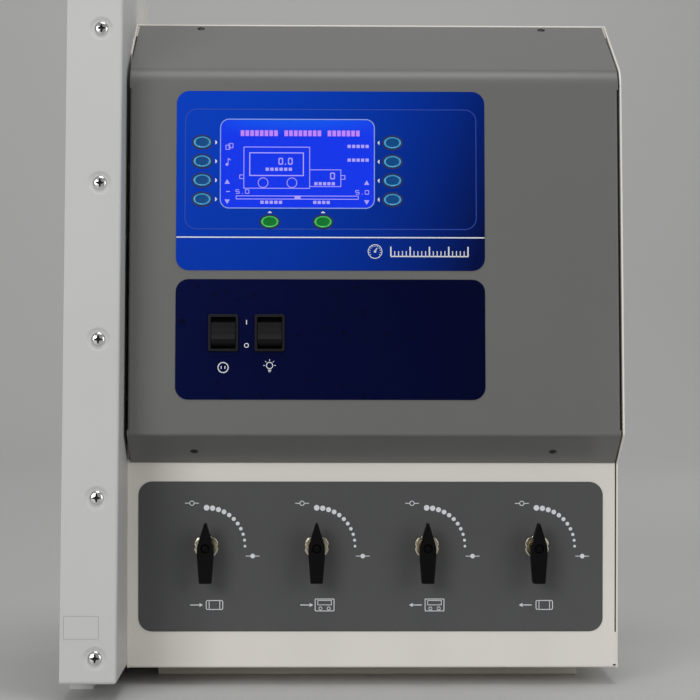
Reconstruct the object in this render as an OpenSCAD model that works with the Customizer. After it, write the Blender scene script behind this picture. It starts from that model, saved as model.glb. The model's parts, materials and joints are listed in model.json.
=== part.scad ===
// Control console of a laboratory glove box, bolted to the right-hand end of the
// glove box's cabinet. Millimetres, +Z up, +X to the user's right, the user at -Y.
// The origin is at the middle of the footprint, on the bench.

/* [Console casing] */
// Width of the grey front cover
cover_w = 420; // [410:5:520]
// Depth of the casing, from the lower front panel to the rear panel
console_d = 260; // [235:5:330]
// Height of the lower front panel's bottom edge above the bench
base_z = 15; // [12:1:25]
// Height of the lower front panel
lower_h = 177; // [170:1:200]
// Length of the underside of the overhang, measured along it
chin_len = 49; // [44:1:60]
// Slope of that underside above horizontal, in degrees
chin_pitch = 32.5; // [25:0.5:40]
// Height of the control face, measured along it
face_len = 312; // [308:1:380]
// Lean of the control face away from the user, in degrees
face_tilt = 4.7; // [0:0.1:10]
// Length of the sloping roof behind the control face
slope_len = 121.5; // [100:0.5:130]
// Slope of that roof above horizontal, in degrees
slope_pitch = 27.2; // [20:0.1:35]
// Outer radius of the bend between control face and roof
bend_r = 20; // [10:1:30]
// Thickness of all sheet steel
sheet_t = 1.6; // [1.2:0.1:2]
// Gap between the cover and each side panel
cover_gap = 1.4; // [0.8:0.1:2]

/* [Cabinet end] */
// Width of the cabinet's front flange
flange_w = 47; // [40:1:60]
// Height of the cabinet end above the bench
cabinet_h = 625; // [615:5:720]
// Lean of the cabinet's front away from the user, in degrees
cabinet_tilt = 5.27; // [0:0.01:8]
// Distance of the cabinet's front ahead of the lower front panel, at bench height
cabinet_reach = 104; // [80:1:130]
// Spacing of the flange screws
screw_pitch = 131.6; // [110:0.1:135]

/* [Control face] */
// Width of the keypad overlay
keypad_w = 264; // [250:1:280]
// Height of the keypad overlay
keypad_h = 155; // [150:1:160]
// Width of the display window
window_w = 131; // [120:1:132]
// Height of the display window
window_h = 76; // [66:1:77]
// Long axis of an oval key
key_w = 15; // [12:0.5:15]
// Short axis of an oval key
key_h = 10; // [8:0.5:11]
// Distance between the keys of a column
key_pitch = 16.4; // [14:0.1:18]
// Travel of a key
key_travel = 0.8; // [0.4:0.1:1]
// Width of a rocker switch's bezel
switch_w = 25.6; // [24:0.1:28]
// Height of a rocker switch's bezel
switch_h = 31.6; // [31:0.1:36]
// Distance between the two rocker switches
switch_pitch = 39.5; // [30:0.5:50]
// Swing of a rocker from one position to the other, in degrees
rocker_swing = 21; // [16:1:22]

/* [Gas valves] */
// Distance between neighbouring valves
valve_pitch = 95.4; // [79:0.1:97]
// Height of the valve axes above the bench
valve_z = 120.5; // [115:0.5:125]
// Diameter of the valve stem
stem_d = 6.35; // [5:0.05:8]
// Diameter of the valve ball
ball_d = 13.5; // [12:0.1:15]
// Length of a handle from its axis to its pointed end
handle_tip = 21.5; // [18:0.5:26]
// Length of a handle from its axis to its blunt end
handle_tail = 30; // [24:0.5:36]
// Outer diameter of the gas tubes and of the ports' stubs
tube_d = 9.525; // [8:0.005:10]
// Length of the free stub of a rear port
stub_len = 22; // [16:1:30]

/* [Hidden] */
$fn = 48;

// Fits
run_gap = 0.05; // radial running clearance of a shaft in its hole
move_gap = 0.3; // clearance between other pieces that move past each other
seat_gap = 0.1; // clearance between sheets that lie against each other
overlay_t = 0.5;
overlay_r = 11;
board_t = 1.6;

// Widths of the casing
inner_w = cover_w + 2 * cover_gap;
outer_w = inner_w + 2 * sheet_t;
rim_proud = 0.3;
left_recess = 45; // of the left side panel's edge behind the control face

// Points of the casing's side outline, as [y, z]
function along(a) = [cos(a), sin(a)];
chin_low = [0, base_z + lower_h];
face_low = chin_low + chin_len * along(180 - chin_pitch);
face_top = face_low + face_len * along(90 - face_tilt);
roof_back = face_top + slope_len * along(slope_pitch);
top_z = roof_back[1] + 1.4;

// Cabinet end, in the same frame
wall_x = -outer_w / 2;
flange_low = base_z + 1;
flange_len = (cabinet_h - flange_low) / cos(cabinet_tilt);
flange_bend_r = 3;
run_out = [0.05, 0.5]; // how far the cut that rounds the flange's edge runs out past both faces
cabinet_back = console_d - 10;
rail_front = -20;
rail_w = 20;
tube_wall = 2;
flange_screw_x = wall_x - 18;
flange_screw_low = 21.2;
flange_screws = 5;
dimple_d = 23;
dimple_depth = 1;
link_d = 6.6;
cover_screw_d = 7;
link_dx = 24;
link_dz = 480;
link_z = 300;

// Where the whole part lies: its box runs from the flange to the right side panel
// and from the flange's foot to the ends of the rear stubs
front_y = -cabinet_reach + flange_low * tan(cabinet_tilt);
port_hex_t = 6;
rear_y = console_d + port_hex_t + stub_len;
console_x = flange_w / 2;
console_y = -(front_y + rear_y) / 2;

// Control face layout: x from the console's middle, v up from the face's lower edge
pad_x = -37.5;
keypad_v = 218;
switch_pad_h = 103;
switch_pad_v = 81.5;
window_x = -66;
window_v = 232.6;
window_r = 7;
window_seat = 2;
key_col_dx = 81.5;
key_top_v = 251;
soft_key_x = [-89.5, -44];
soft_key_v = 182.5;
key_flange = 1;
key_flange_t = 1;
key_seat = sheet_t + move_gap;
key_hole = key_w + 2 * move_gap;
switch_x = -109 - switch_pitch / 2;
switch_v = 86.8;

// Rocker switch: the profile is [v, w] about its pivot, in its middle position
bezel_t = 2.2;
bezel_wall = 2.2;
pivot_w = -5;
pivot_d = 3;
pivot_len = 1.2;
rocker_w = switch_w - 2 * bezel_wall - 2 * move_gap;
rocker_reach = switch_h / 2 - bezel_wall - 1.76;
housing_depth = 24;
rocker_ridge = 7.2; // distance of its two ridges from its middle
rocker_profile = [
    [-rocker_ridge, 8.6], [0, 6.9], [rocker_ridge, 8.6], [rocker_reach + 0.3, 2.4],
    [8, -4], [3, -6], [-3, -6], [-8, -4], [-rocker_reach - 0.3, 2.4]
];

// Valve, along its stem: y is the distance behind the lower panel's face
valve_x0 = -1.2 - 1.5 * valve_pitch;
valves = 4;
valve_pad_w = 403;
valve_pad_h = 130;
valve_pad_z = 111.5;
ball_y = 24;
body_w = 30;
body_h = 34;
body_front = 10;
body_back = 38;
neck_d = 15;
neck_front = -8;
bore_d = 6;
seat_d = tube_d + 2 * seat_gap;
seat_len = 8;
socket_d = 16;
socket_end = 30;
nut_d = 21.6;
nut_t = 5.5;
handle_front = -27;
handle_back = -9;
handle_bar_back = -16;
handle_hub_w = 14.3;
handle_tail_w = 10.6;
handle_dish = 2.5;
handle_dish_d = 8;

// Gas lines: from each valve down and back, and up and back, to two rows of ports
low_port_z = valve_z - 60.5;
low_bend_r = 25;
high_port_z = valve_z + 54.5;
high_bend_r = 20;
port_inner = console_d - 22;
port_thread_d = 15;
port_hex_d = 22;
port_nut_t = 5;
solenoid_lines = [1, 2];
solenoid_front = 100;
solenoid_len = 50;
solenoid_w = 30;

// Plinth bars under the casing
plinth_recess = 60;
plinth_w = 40;
plinth_left = 23;
plinth_right = 29;

// Rear panel layout
rear_in = console_d - sheet_t;
rear_hole_d = 4;
rear_screw_d = 3.4;
tab_w = 14;
tab_in = 7;
inlet_x = -165;
inlet_z = 300;
inlet_w = 28;
inlet_h = 22;
inlet_depth = 22;
board_z = 445;
board_w = 180;
board_h = 130;
standoff_len = 12;
sensor_x = -40;
sensor_z = 300;
supply_x = 110;
supply_z = 300;
terminal_x = -100;
ribbon_w = 40;

// Points and outlines
function unit(v) = v / norm(v);
function inward(v) = [v[1], -v[0]];
function turned(v, a) = [v[0] * cos(a) - v[1] * sin(a), v[0] * sin(a) + v[1] * cos(a)];
function cross2(a, b) = a[0] * b[1] - a[1] * b[0];
function reversed(p) = [for (i = [len(p) - 1:-1:0]) p[i]];

// One corner of a path, moved inwards by t
function moved(a, b, c, t) =
    let (n1 = inward(unit(b - a)), n2 = inward(unit(c - b)))
    b + t * (n1 + n2) / (1 + n1 * n2);

// A path moved inwards by t, which is to the right of the way it runs
function inset(p, t) = [
    for (i = [0:len(p) - 1])
        i == 0 ? p[0] + t * inward(unit(p[1] - p[0]))
        : i == len(p) - 1 ? p[i] + t * inward(unit(p[i] - p[i - 1]))
        : moved(p[i - 1], p[i], p[i + 1], t)
];

// A closed outline moved inwards by t
function inset_loop(p, t) = [
    for (i = [0:len(p) - 1]) moved(p[(i + len(p) - 1) % len(p)], p[i], p[(i + 1) % len(p)], t)
];

// The arc that rounds the corner at b, or the corner itself when r is 0
function corner(a, b, c, r) = r <= 0 ? [b] :
    let (
        d1 = unit(b - a),
        d2 = unit(c - b),
        k = cross2(d1, d2),
        bend = atan2(k, d1 * d2),
        start = b - d1 * r * tan(abs(bend) / 2),
        centre = start + r * sign(k) * [-d1[1], d1[0]],
        steps = max(3, ceil(abs(bend) / 6))
    )
    [for (i = [0:steps]) centre + turned(start - centre, bend * i / steps)];

// A path with its inner corners rounded by the radii r
function rounded(p, r) = concat(
    [p[0]],
    [for (i = [1:len(p) - 2]) each corner(p[i - 1], p[i], p[i + 1], r[i - 1])],
    [p[len(p) - 1]]
);

// Radii on the inner side of a sheet of thickness t bent along the path p
function inner_radii(p, r, t) = [
    for (i = [1:len(p) - 2])
        r[i - 1] == 0 ? 0 : r[i - 1] + t * sign(cross2(p[i] - p[i - 1], p[i + 1] - p[i]))
];

// The cross-section of a sheet bent along the path p
function sheet(p, r, t) = concat(
    rounded(p, r),
    reversed(rounded(inset(p, t), inner_radii(p, r, t)))
);

function ellipse(w, h) = [for (i = [0:35]) [w / 2 * cos(10 * i), h / 2 * sin(10 * i)]];

// Frames: the console's own frame, then the planes that things are fixed to, in which
// +X is to the right, +Y is up along the plane and +Z points out of it
module console() translate([console_x, console_y, 0]) children();
module plane(at, a) console() translate([0, at[0], at[1]]) rotate([a, 0, 0]) children();
module on_face() plane(face_low, 90 - face_tilt) children();
module on_chin() plane(chin_low, 180 - chin_pitch) children();
module on_roof() plane(roof_back, slope_pitch) children();
module on_panel() plane([0, 0], 90) children();
module on_flange() plane([front_y, flange_low], 90 - cabinet_tilt) children();
module on_rear() console() translate([0, console_d, 0]) rotate([90, 0, 180]) children();

// An outline of [y, z] points, drawn out along X from x0
module across(x0, w) console() translate([x0, 0, 0]) rotate([90, 0, 90]) linear_extrude(w) children();

// A box from its lower corner to its upper corner
module box(a, b) translate(a) cube(b - a);

// A plate with round corners, centred on the Z axis and standing on z = 0
module plate(w, h, t, r) {
    box([-w / 2 + r, -h / 2, 0], [w / 2 - r, h / 2, t]);
    box([-w / 2, -h / 2 + r, 0], [w / 2, h / 2 - r, t]);
    for (x = [-1, 1], y = [-1, 1])
        translate([x * (w / 2 - r), y * (h / 2 - r), 0]) cylinder(r = r, h = t);
}

// Cross-recessed screw with an oval head of diameter d, its head's seat at z = 0
module screw(d, head_t, shank_d, shank_len) {
    difference() {
        union() {
            cylinder(d1 = d, d2 = 0.6 * d, h = head_t);
            translate([0, 0, -shank_len]) cylinder(d = shank_d, h = shank_len);
        }
        for (a = [0, 90])
            rotate([0, 0, a]) box([-0.24 * d, -0.05 * d, 0.3 * head_t], [0.24 * d, 0.05 * d, head_t + 1]);
    }
}

// Places of repeated features
module at_flange_screws() on_flange()
    for (i = [0:flange_screws - 1])
        translate([flange_screw_x, flange_screw_low + i * screw_pitch, 0]) children();
module at_links() console()
    for (y = [60, cabinet_back - 50], z = [110, 470]) translate([wall_x, y, z]) children();
module at_cover_screws() {
    for (x = [-1, 1] * 0.367 * cover_w) {
        on_roof() translate([x, -8, 0]) children();
        on_chin() translate([x, 21, 0]) children();
    }
}
module at_rear_screws() on_rear()
    for (x = [-1, 1] * (inner_w / 2 - tab_in), z = [60, 300, 540]) translate([x, z, 0]) children();
module at_valves() on_panel()
    for (i = [0:valves - 1]) translate([valve_x0 + i * valve_pitch, valve_z, 0]) children();
module at_ports() console()
    for (i = [0:valves - 1], z = [low_port_z, high_port_z])
        translate([valve_x0 + i * valve_pitch, console_d, z]) rotate([-90, 0, 0]) children();
module at_window() on_face() translate([window_x, window_v, 0]) children();
module at_keys() on_face() {
    for (x = [-1, 1] * key_col_dx, i = [0:3])
        translate([window_x + x, key_top_v - i * key_pitch, 0]) children();
    for (x = soft_key_x) translate([x, soft_key_v, 0]) children();
}
module at_switch(i) on_face() translate([switch_x + i * switch_pitch, switch_v, 0]) children();

// Cabinet end
module cabinet_side_panel() {
    front_top = front_y + (cabinet_h - flange_low) * tan(cabinet_tilt);
    outline = [
        [front_y, flange_low], [front_top, cabinet_h], [cabinet_back, cabinet_h], [cabinet_back, flange_low]
    ];
    color("gainsboro") difference() {
        union() {
            difference() {
                across(wall_x - flange_w, flange_w) polygon(outline);
                across(wall_x - flange_w - 1, flange_w + 1 - sheet_t) polygon(inset_loop(outline, sheet_t));
            }
            at_flange_screws() translate([0, 0, -sheet_t - dimple_depth])
                cylinder(d = dimple_d, h = dimple_depth + sheet_t / 2);
        }
        // the rounded edge between flange and web
        on_flange() translate([wall_x - flange_bend_r, flange_len + 20, -flange_bend_r]) rotate([90, 0, 0])
            linear_extrude(flange_len + 40) polygon(concat(
                [[flange_bend_r + run_out[0], -run_out[1]]],
                [for (a = [10:10:80]) flange_bend_r * along(a)],
                [[-run_out[1], flange_bend_r + run_out[0]]],
                (flange_bend_r + 1) * [[0, 1], [1, 1], [1, 0]]
            ));
        at_flange_screws() {
            translate([0, 0, -dimple_depth]) cylinder(d1 = 13, d2 = dimple_d - 1, h = dimple_depth + 0.01);
            translate([0, 0, -9]) cylinder(d = 6, h = 20);
        }
        at_links() rotate([0, 90, 0]) cylinder(d = link_d, h = 20, center = true);
        console() for (x = [-1, 1] * link_dx / 2, z = [-1, 1] * link_dz / 2)
            translate([wall_x - flange_w / 2 + x, cabinet_back, link_z + z]) rotate([90, 0, 0])
                cylinder(d = link_d, h = 20, center = true);
    }
}

// Closed rectangular tube, from its lower corner to its upper corner
module closed_tube(a, b) console() difference() {
    box(a, b);
    box(a + tube_wall * [1, 1, 1], b - tube_wall * [1, 1, 1]);
}

module cabinet_base_rail() color("lightgray") closed_tube(
    [wall_x - flange_w, rail_front, 0],
    [wall_x - flange_w + rail_w, cabinet_back - 10, flange_low]
);

module cabinet_screws() color("silver") at_flange_screws()
    translate([0, 0, -dimple_depth]) screw(12.6, 2.4, 5.6, 14);

// Casing
module side_outline(recess) {
    front = [[0, base_z], chin_low, face_low, face_top, roof_back];
    edge = [
        front[0] + [-rim_proud, 0],
        front[1] + [-rim_proud, 0],
        front[2] + [recess, 0],
        front[3] + recess * [1, recess > 0 ? tan(slope_pitch) : 0],
        [roof_back[0], top_z],
        [console_d, top_z],
        [console_d, base_z]
    ];
    polygon(rounded(edge, [0, 4, recess > 0 ? 4 : bend_r, 0, 0]));
}

// The tabs that the rear panel and the base pan are fixed to, inside a side panel
module side_tabs(x0) console() {
    box([x0, rear_in - seat_gap - sheet_t, base_z + 25], [x0 + tab_w, rear_in - seat_gap, top_z - 25]);
    box([x0, 35, base_z + sheet_t + seat_gap], [x0 + tab_w, console_d - 25, base_z + 2 * sheet_t + seat_gap]);
}

module side_panel_left() color("linen") difference() {
    union() {
        across(-outer_w / 2, sheet_t) side_outline(left_recess);
        side_tabs(-inner_w / 2 - 0.5);
    }
    at_rear_screws() cylinder(d = rear_screw_d, h = 20, center = true);
    at_links() rotate([0, 90, 0]) cylinder(d = link_d, h = 20, center = true);
}

module side_panel_right() color("linen") difference() {
    union() {
        across(inner_w / 2, sheet_t) side_outline(-rim_proud);
        side_tabs(inner_w / 2 + 0.5 - tab_w);
    }
    at_rear_screws() cylinder(d = rear_screw_d, h = 20, center = true);
}

module base_pan() color("linen") console()
    box([-inner_w / 2, 25 + seat_gap, base_z], [inner_w / 2, rear_in - seat_gap, base_z + sheet_t]);

module lower_front_panel() {
    cover_back = sheet_t + seat_gap;
    bend = chin_low + [0, cover_back / cos(chin_pitch) * (1 - sin(chin_pitch)) + 1.2];
    path = [
        [25, base_z], [0, base_z], bend, bend + 34 * along(180 - chin_pitch)
    ];
    color("linen") difference() {
        across(-inner_w / 2, inner_w) polygon(sheet(path, [2, 0], sheet_t));
        // the slit and the bend relief at the right-hand edge
        console() box([inner_w / 2 - 0.9, -1, base_z + 31], [inner_w / 2 + 1, 4, 300]);
        console() box([inner_w / 2 - 2.6, -1, base_z - 1], [inner_w / 2 + 1, 4, base_z + 3]);
        // the bent-up edge stops short of both side panels
        for (s = [-1, 1])
            console() box([s * (inner_w / 2 - 1) - 2, -60, chin_low[1]], [s * (inner_w / 2 - 1) + 2, -0.5, 260]);
        at_valves() cylinder(d = neck_d + 0.6, h = 20, center = true);
        at_cover_screws() cylinder(d = 3.4, h = 30, center = true);
    }
}

module front_cover() {
    path = [chin_low + 1.5 * along(180 - chin_pitch), face_low, face_top, roof_back];
    color("dimgray") difference() {
        across(-cover_w / 2, cover_w) polygon(sheet(path, [2.5, bend_r], sheet_t));
        at_window() translate([0, 0, -5]) plate(window_w + 2 * window_seat, window_h + 2 * window_seat, 10, window_r);
        at_keys() translate([0, 0, -5]) linear_extrude(10) polygon(ellipse(key_hole, key_h + 2 * move_gap));
        for (i = [0, 1]) at_switch(i)
            box([-switch_w / 2 + 0.6, -switch_h / 2 + 0.8, -5], [switch_w / 2 - 0.6, switch_h / 2 - 0.8, 5]);
        at_cover_screws() cylinder(d = 4.2, h = 30, center = true);
    }
}

module top_panel() {
    slope = along(slope_pitch);
    under = inset([roof_back - 24 * slope, roof_back], sheet_t + seat_gap);
    front = roof_back[0] + 1.2;
    foot = under[1] + slope * (front - under[1][0]) / slope[0];
    path = [under[0], foot, [front, top_z], [console_d, top_z]];
    color("linen") difference() {
        across(-inner_w / 2, inner_w) polygon(sheet(path, [0, 0], sheet_t));
        at_cover_screws() cylinder(d = 3.4, h = 12, center = true);
    }
}

module rear_panel() color("linen") difference() {
    console() box([-inner_w / 2, rear_in, base_z], [inner_w / 2, console_d, top_z - sheet_t - seat_gap]);
    at_ports() cylinder(d = port_thread_d + 0.4, h = 10, center = true);
    at_rear_screws() cylinder(d = rear_hole_d, h = 10, center = true);
    console() {
        box(
            [inlet_x - inlet_w / 2 - 0.3, rear_in - 1, inlet_z - inlet_h / 2 - 0.3],
            [inlet_x + inlet_w / 2 + 0.3, console_d + 1, inlet_z + inlet_h / 2 + 0.3]
        );
        translate([sensor_x, console_d, sensor_z]) rotate([90, 0, 0]) cylinder(d = 9, h = 10, center = true);
        // cooling slots above the electronics
        for (i = [-6:6])
            box([i * 12 - 2.5, rear_in - 1, 530], [i * 12 + 2.5, console_d + 1, 556]);
    }
}

// Bars that stand on the bench under the casing
module plinth_bar(y) color("tan") closed_tube(
    [-outer_w / 2 + plinth_left, y, 0],
    [outer_w / 2 - plinth_right, y + plinth_w, base_z]
);
module plinth_front() plinth_bar(plinth_recess);
module plinth_rear() plinth_bar(console_d - plinth_w - 10);

module cover_screws() color("black") at_cover_screws() screw(cover_screw_d, 1.2, 3.2, 6);
module rear_screws() color("silver") at_rear_screws() screw(7, 2, rear_screw_d - 0.2, 7);

module console_bolts() color("silver") at_links() rotate([0, 90, 0]) {
    translate([0, 0, -sheet_t - 4]) cylinder(d = 11, h = 4, $fn = 6);
    translate([0, 0, -sheet_t - 1]) cylinder(d = 6, h = 12);
    translate([0, 0, sheet_t]) difference() {
        cylinder(d = 11.5, h = 5, $fn = 6);
        translate([0, 0, -1]) cylinder(d = 6, h = 8);
    }
}

// Display and keypad
module keypad_overlay() color("mediumblue") difference() {
    on_face() translate([pad_x, keypad_v, 0]) plate(keypad_w, keypad_h, overlay_t, overlay_r);
    at_window() translate([0, 0, -1]) plate(window_w, window_h, 3, window_r);
    at_keys() translate([0, 0, -1]) linear_extrude(3) polygon(ellipse(key_hole, key_h + 2 * move_gap));
}

module display_window() color("lightskyblue", 0.5) at_window() translate([0, 0, -sheet_t])
    plate(window_w + 2 * window_seat - 0.4, window_h + 2 * window_seat - 0.4, sheet_t, window_r - 0.2);

module lcd_module() color("royalblue") at_window() {
    box([-72, -41, -11], [72, 43, -sheet_t - 0.4]);
    box([-60, -30, -15], [60, 30, -11]);
}

module keypad_board() color("darkgreen") on_face() {
    under_keys = key_seat + key_flange_t + key_travel + 0.2;
    difference() {
        box([-160, 172, -under_keys - board_t], [27, 282, -under_keys]);
        box([window_x - 73, window_v - 42, -20], [window_x + 73, window_v + 44, 5]);
    }
}

// Oval push key: its cap stands out of the overlay and a flange behind the cover keeps it in
module key(x, v, c) color(c) on_face() translate([x, v, 0]) {
    translate([0, 0, -key_seat]) linear_extrude(key_seat + overlay_t + key_travel) polygon(ellipse(key_w, key_h));
    translate([0, 0, -key_seat - key_flange_t])
        linear_extrude(key_flange_t) polygon(ellipse(key_w + 2 * key_flange, key_h + 2 * key_flange));
}
module left_key(i) key(window_x - key_col_dx, key_top_v - i * key_pitch, "deepskyblue");
module right_key(i) key(window_x + key_col_dx, key_top_v - i * key_pitch, "deepskyblue");
module purge_key() key(soft_key_x[0], soft_key_v, "limegreen");
module fill_key() key(soft_key_x[1], soft_key_v, "limegreen");

// Rocker switches
module switch_overlay() color("midnightblue") difference() {
    on_face() translate([pad_x, switch_pad_v, 0]) plate(keypad_w, switch_pad_h, overlay_t, overlay_r);
    for (i = [0, 1]) at_switch(i)
        box([-switch_w / 2 + 0.6, -switch_h / 2 + 0.8, -5], [switch_w / 2 - 0.6, switch_h / 2 - 0.8, 5]);
}

module switch_housing(i) color("black") at_switch(i) difference() {
    union() {
        box([-switch_w / 2, -switch_h / 2, overlay_t], [switch_w / 2, switch_h / 2, overlay_t + bezel_t]);
        box([-switch_w / 2 + 0.8, -switch_h / 2 + 1, -housing_depth], [switch_w / 2 - 0.8, switch_h / 2 - 1, overlay_t]);
        for (v = [-8, 0, 8]) box([-3, v - 0.4, -housing_depth - 8], [3, v + 0.4, -housing_depth]);
    }
    box(
        [-switch_w / 2 + bezel_wall, -switch_h / 2 + bezel_wall, -13],
        [switch_w / 2 - bezel_wall, switch_h / 2 - bezel_wall, 10]
    );
    translate([0, 0, pivot_w]) rotate([0, 90, 0]) cylinder(d = pivot_d + 2 * run_gap, h = 2 * switch_w, center = true);
}

module rocker(i) color("dimgray") at_switch(i) translate([0, 0, pivot_w]) {
    rotate([-rocker_swing / 2, 0, 0]) translate([-rocker_w / 2, 0, 0]) rotate([90, 0, 90])
        linear_extrude(rocker_w) polygon(rocker_profile);
    rotate([0, 90, 0]) cylinder(d = pivot_d, h = rocker_w + 2 * pivot_len, center = true);
}

// Gas valves
module valve_overlay() color("dimgray") difference() {
    on_panel() translate([-1.8, valve_pad_z, 0]) plate(valve_pad_w, valve_pad_h, overlay_t, overlay_r + 1);
    at_valves() cylinder(d = neck_d + 0.6, h = 5, center = true);
}

module valve_panel_nuts() color("silver") at_valves() translate([0, 0, overlay_t]) difference() {
    cylinder(d = nut_d, h = nut_t);
    translate([0, 0, -1]) cylinder(d = neck_d, h = nut_t + 2);
    for (a = [0:60:300]) rotate([0, 0, a]) translate([nut_d / 2, 0, -1]) cylinder(d = 2.4, h = nut_t + 2);
}

// The frame of valve i: its stem's axis is Z, pointing at the user
module at_valve(i) on_panel() translate([valve_x0 + i * valve_pitch, valve_z, 0]) children();

module valve_body(i) color("darkgray") at_valve(i) difference() {
    union() {
        box([-body_w / 2, -body_h / 2, -body_back], [body_w / 2, body_h / 2, -body_front]);
        translate([0, 0, -body_front]) cylinder(d = 20, h = body_front - sheet_t);
        translate([0, 0, -sheet_t]) cylinder(d = neck_d, h = sheet_t - neck_front);
        translate([0, 0, -ball_y]) rotate([90, 0, 0]) cylinder(d = socket_d, h = 2 * socket_end, center = true);
    }
    translate([0, 0, -ball_y]) {
        sphere(d = ball_d + 2 * move_gap, $fn = 96);
        rotate([90, 0, 0]) cylinder(d = bore_d, h = 2 * socket_end, center = true);
        for (s = [0, 180]) rotate([s + 90, 0, 0]) translate([0, 0, socket_end - seat_len])
            cylinder(d = seat_d, h = seat_len + 1);
    }
    translate([0, 0, -ball_y]) cylinder(d = stem_d + 2 * run_gap, h = ball_y - neck_front + 1);
}

module valve_stem(i) color("silver") at_valve(i) difference() {
    union() {
        translate([0, 0, -ball_y]) sphere(d = ball_d, $fn = 96);
        translate([0, 0, -ball_y]) cylinder(d = stem_d, h = ball_y - handle_front - handle_dish);
    }
    translate([0, 0, -ball_y]) rotate([90, 0, 0]) cylinder(d = bore_d, h = 30, center = true);
    box([-stem_d, -0.5, -handle_front - handle_dish - 0.9], [stem_d, 0.5, 40]);
}

module valve_handle(i) color("#1c1c1c") at_valve(i) difference() {
    union() {
        translate([0, 0, -handle_back]) cylinder(d = handle_hub_w, h = -handle_front + handle_back);
        translate([0, 0, -handle_bar_back]) linear_extrude(-handle_front + handle_bar_back) polygon([
            [0, handle_tip], [handle_hub_w / 2, 4], [handle_hub_w / 2, -4], [handle_tail_w / 2, -handle_tail],
            [-handle_tail_w / 2, -handle_tail], [-handle_hub_w / 2, -4], [-handle_hub_w / 2, 4]
        ]);
    }
    cylinder(d = stem_d, h = 60);
    translate([0, 0, -handle_front - handle_dish]) cylinder(d = handle_dish_d, h = 10);
}

// Gas lines
module tube_bit(len) difference() {
    cylinder(d = tube_d, h = len);
    translate([0, 0, -1]) cylinder(d = bore_d, h = len + 2);
}

// A quarter bend that starts along +Z at the origin and ends along +Y
module tube_bend(r) translate([0, r, 0]) rotate([90, 0, -90]) rotate_extrude(angle = 90)
    translate([r, 0]) difference() {
        circle(d = tube_d);
        circle(d = bore_d);
    }

module gas_tubes() {
    rise = valve_z + socket_end - seat_len + seat_gap;
    fall = valve_z - socket_end + seat_len - seat_gap;
    low_top = low_port_z + low_bend_r;
    high_foot = high_port_z - high_bend_r;
    tube_end = port_inner + seat_len - seat_gap;
    color("peru") console() for (i = [0:valves - 1]) translate([valve_x0 + i * valve_pitch, 0, 0]) {
        translate([0, ball_y, low_top]) {
            tube_bit(fall - low_top);
            mirror([0, 0, 1]) tube_bend(low_bend_r);
        }
        translate([0, ball_y + low_bend_r, low_port_z]) rotate([-90, 0, 0])
            tube_bit(tube_end - ball_y - low_bend_r);
        translate([0, ball_y, rise]) tube_bit(high_foot - rise);
        translate([0, ball_y, high_foot]) tube_bend(high_bend_r);
        translate([0, ball_y + high_bend_r, high_port_z]) rotate([-90, 0, 0]) {
            from = ball_y + high_bend_r;
            if (len(search(i, solenoid_lines)) > 0) {
                tube_bit(solenoid_front + seat_len - seat_gap - from);
                gap = solenoid_front + solenoid_len - seat_len + seat_gap - from;
                translate([0, 0, gap]) tube_bit(tube_end - from - gap);
            } else {
                tube_bit(tube_end - from);
            }
        }
    }
}

module bulkhead_ports() color("silver") at_ports() difference() {
    union() {
        translate([0, 0, port_inner - console_d]) cylinder(d = port_thread_d, h = console_d - port_inner);
        cylinder(d = port_hex_d, h = port_hex_t, $fn = 6);
        translate([0, 0, port_hex_t]) cylinder(d = tube_d, h = stub_len);
    }
    translate([0, 0, -60]) cylinder(d = bore_d, h = 120);
    translate([0, 0, port_inner - console_d - 1]) cylinder(d = seat_d, h = seat_len + 1);
}

module port_nuts() color("silver") at_ports() translate([0, 0, -sheet_t - port_nut_t]) difference() {
    cylinder(d = port_hex_d, h = port_nut_t, $fn = 6);
    translate([0, 0, -1]) cylinder(d = port_thread_d, h = port_nut_t + 2);
}

module solenoid(i) color("darkslategray") console()
    translate([valve_x0 + i * valve_pitch, solenoid_front, high_port_z]) {
        difference() {
            box([-solenoid_w / 2, 0, -12], [solenoid_w / 2, solenoid_len, 12]);
            rotate([-90, 0, 0]) translate([0, 0, -1]) cylinder(d = bore_d, h = solenoid_len + 2);
            for (y = [-1, solenoid_len - seat_len])
                translate([0, y, 0]) rotate([-90, 0, 0]) cylinder(d = seat_d, h = seat_len + 1);
        }
        translate([0, solenoid_len / 2, 12]) {
            cylinder(d = 28, h = 34);
            cylinder(d = 10, h = 39);
        }
    }
module fill_solenoid() solenoid(solenoid_lines[0]);
module purge_solenoid() solenoid(solenoid_lines[1]);

// Electronics, on the inside of the rear panel
module pressure_sensor() color("white") console() translate([sensor_x, rear_in, sensor_z]) difference() {
    union() {
        box([-16, -14, -16], [16, 0, 16]);
        rotate([-90, 0, 0]) cylinder(d = 6, h = sheet_t + 12);
        translate([0, sheet_t + 7, 0]) rotate([-90, 0, 0]) cylinder(d1 = 7.2, d2 = 5.6, h = 5);
    }
    translate([0, -8, 0]) rotate([-90, 0, 0]) cylinder(d = 3, h = 40);
}

module controller_board() color("darkgreen") console()
    translate([0, rear_in - standoff_len - board_t, board_z]) {
        difference() {
            box([-board_w / 2, 0, -board_h / 2], [board_w / 2, board_t, board_h / 2]);
            for (x = [-1, 1] * (board_w / 2 - 6), z = [-1, 1] * (board_h / 2 - 6))
                translate([x, 0, z]) rotate([90, 0, 0]) cylinder(d = 3.2, h = 10, center = true);
        }
        box([-30, -3, -15], [0, 0, 15]);
        box([20, -12, 10], [60, 0, 40]);
        for (x = [-70, -50, -30]) translate([x, 0, 45]) rotate([90, 0, 0]) cylinder(d = 12, h = 16);
        box([-ribbon_w / 2 - 4, -9, -55], [ribbon_w / 2 + 4, 0, -46]);
    }

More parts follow.
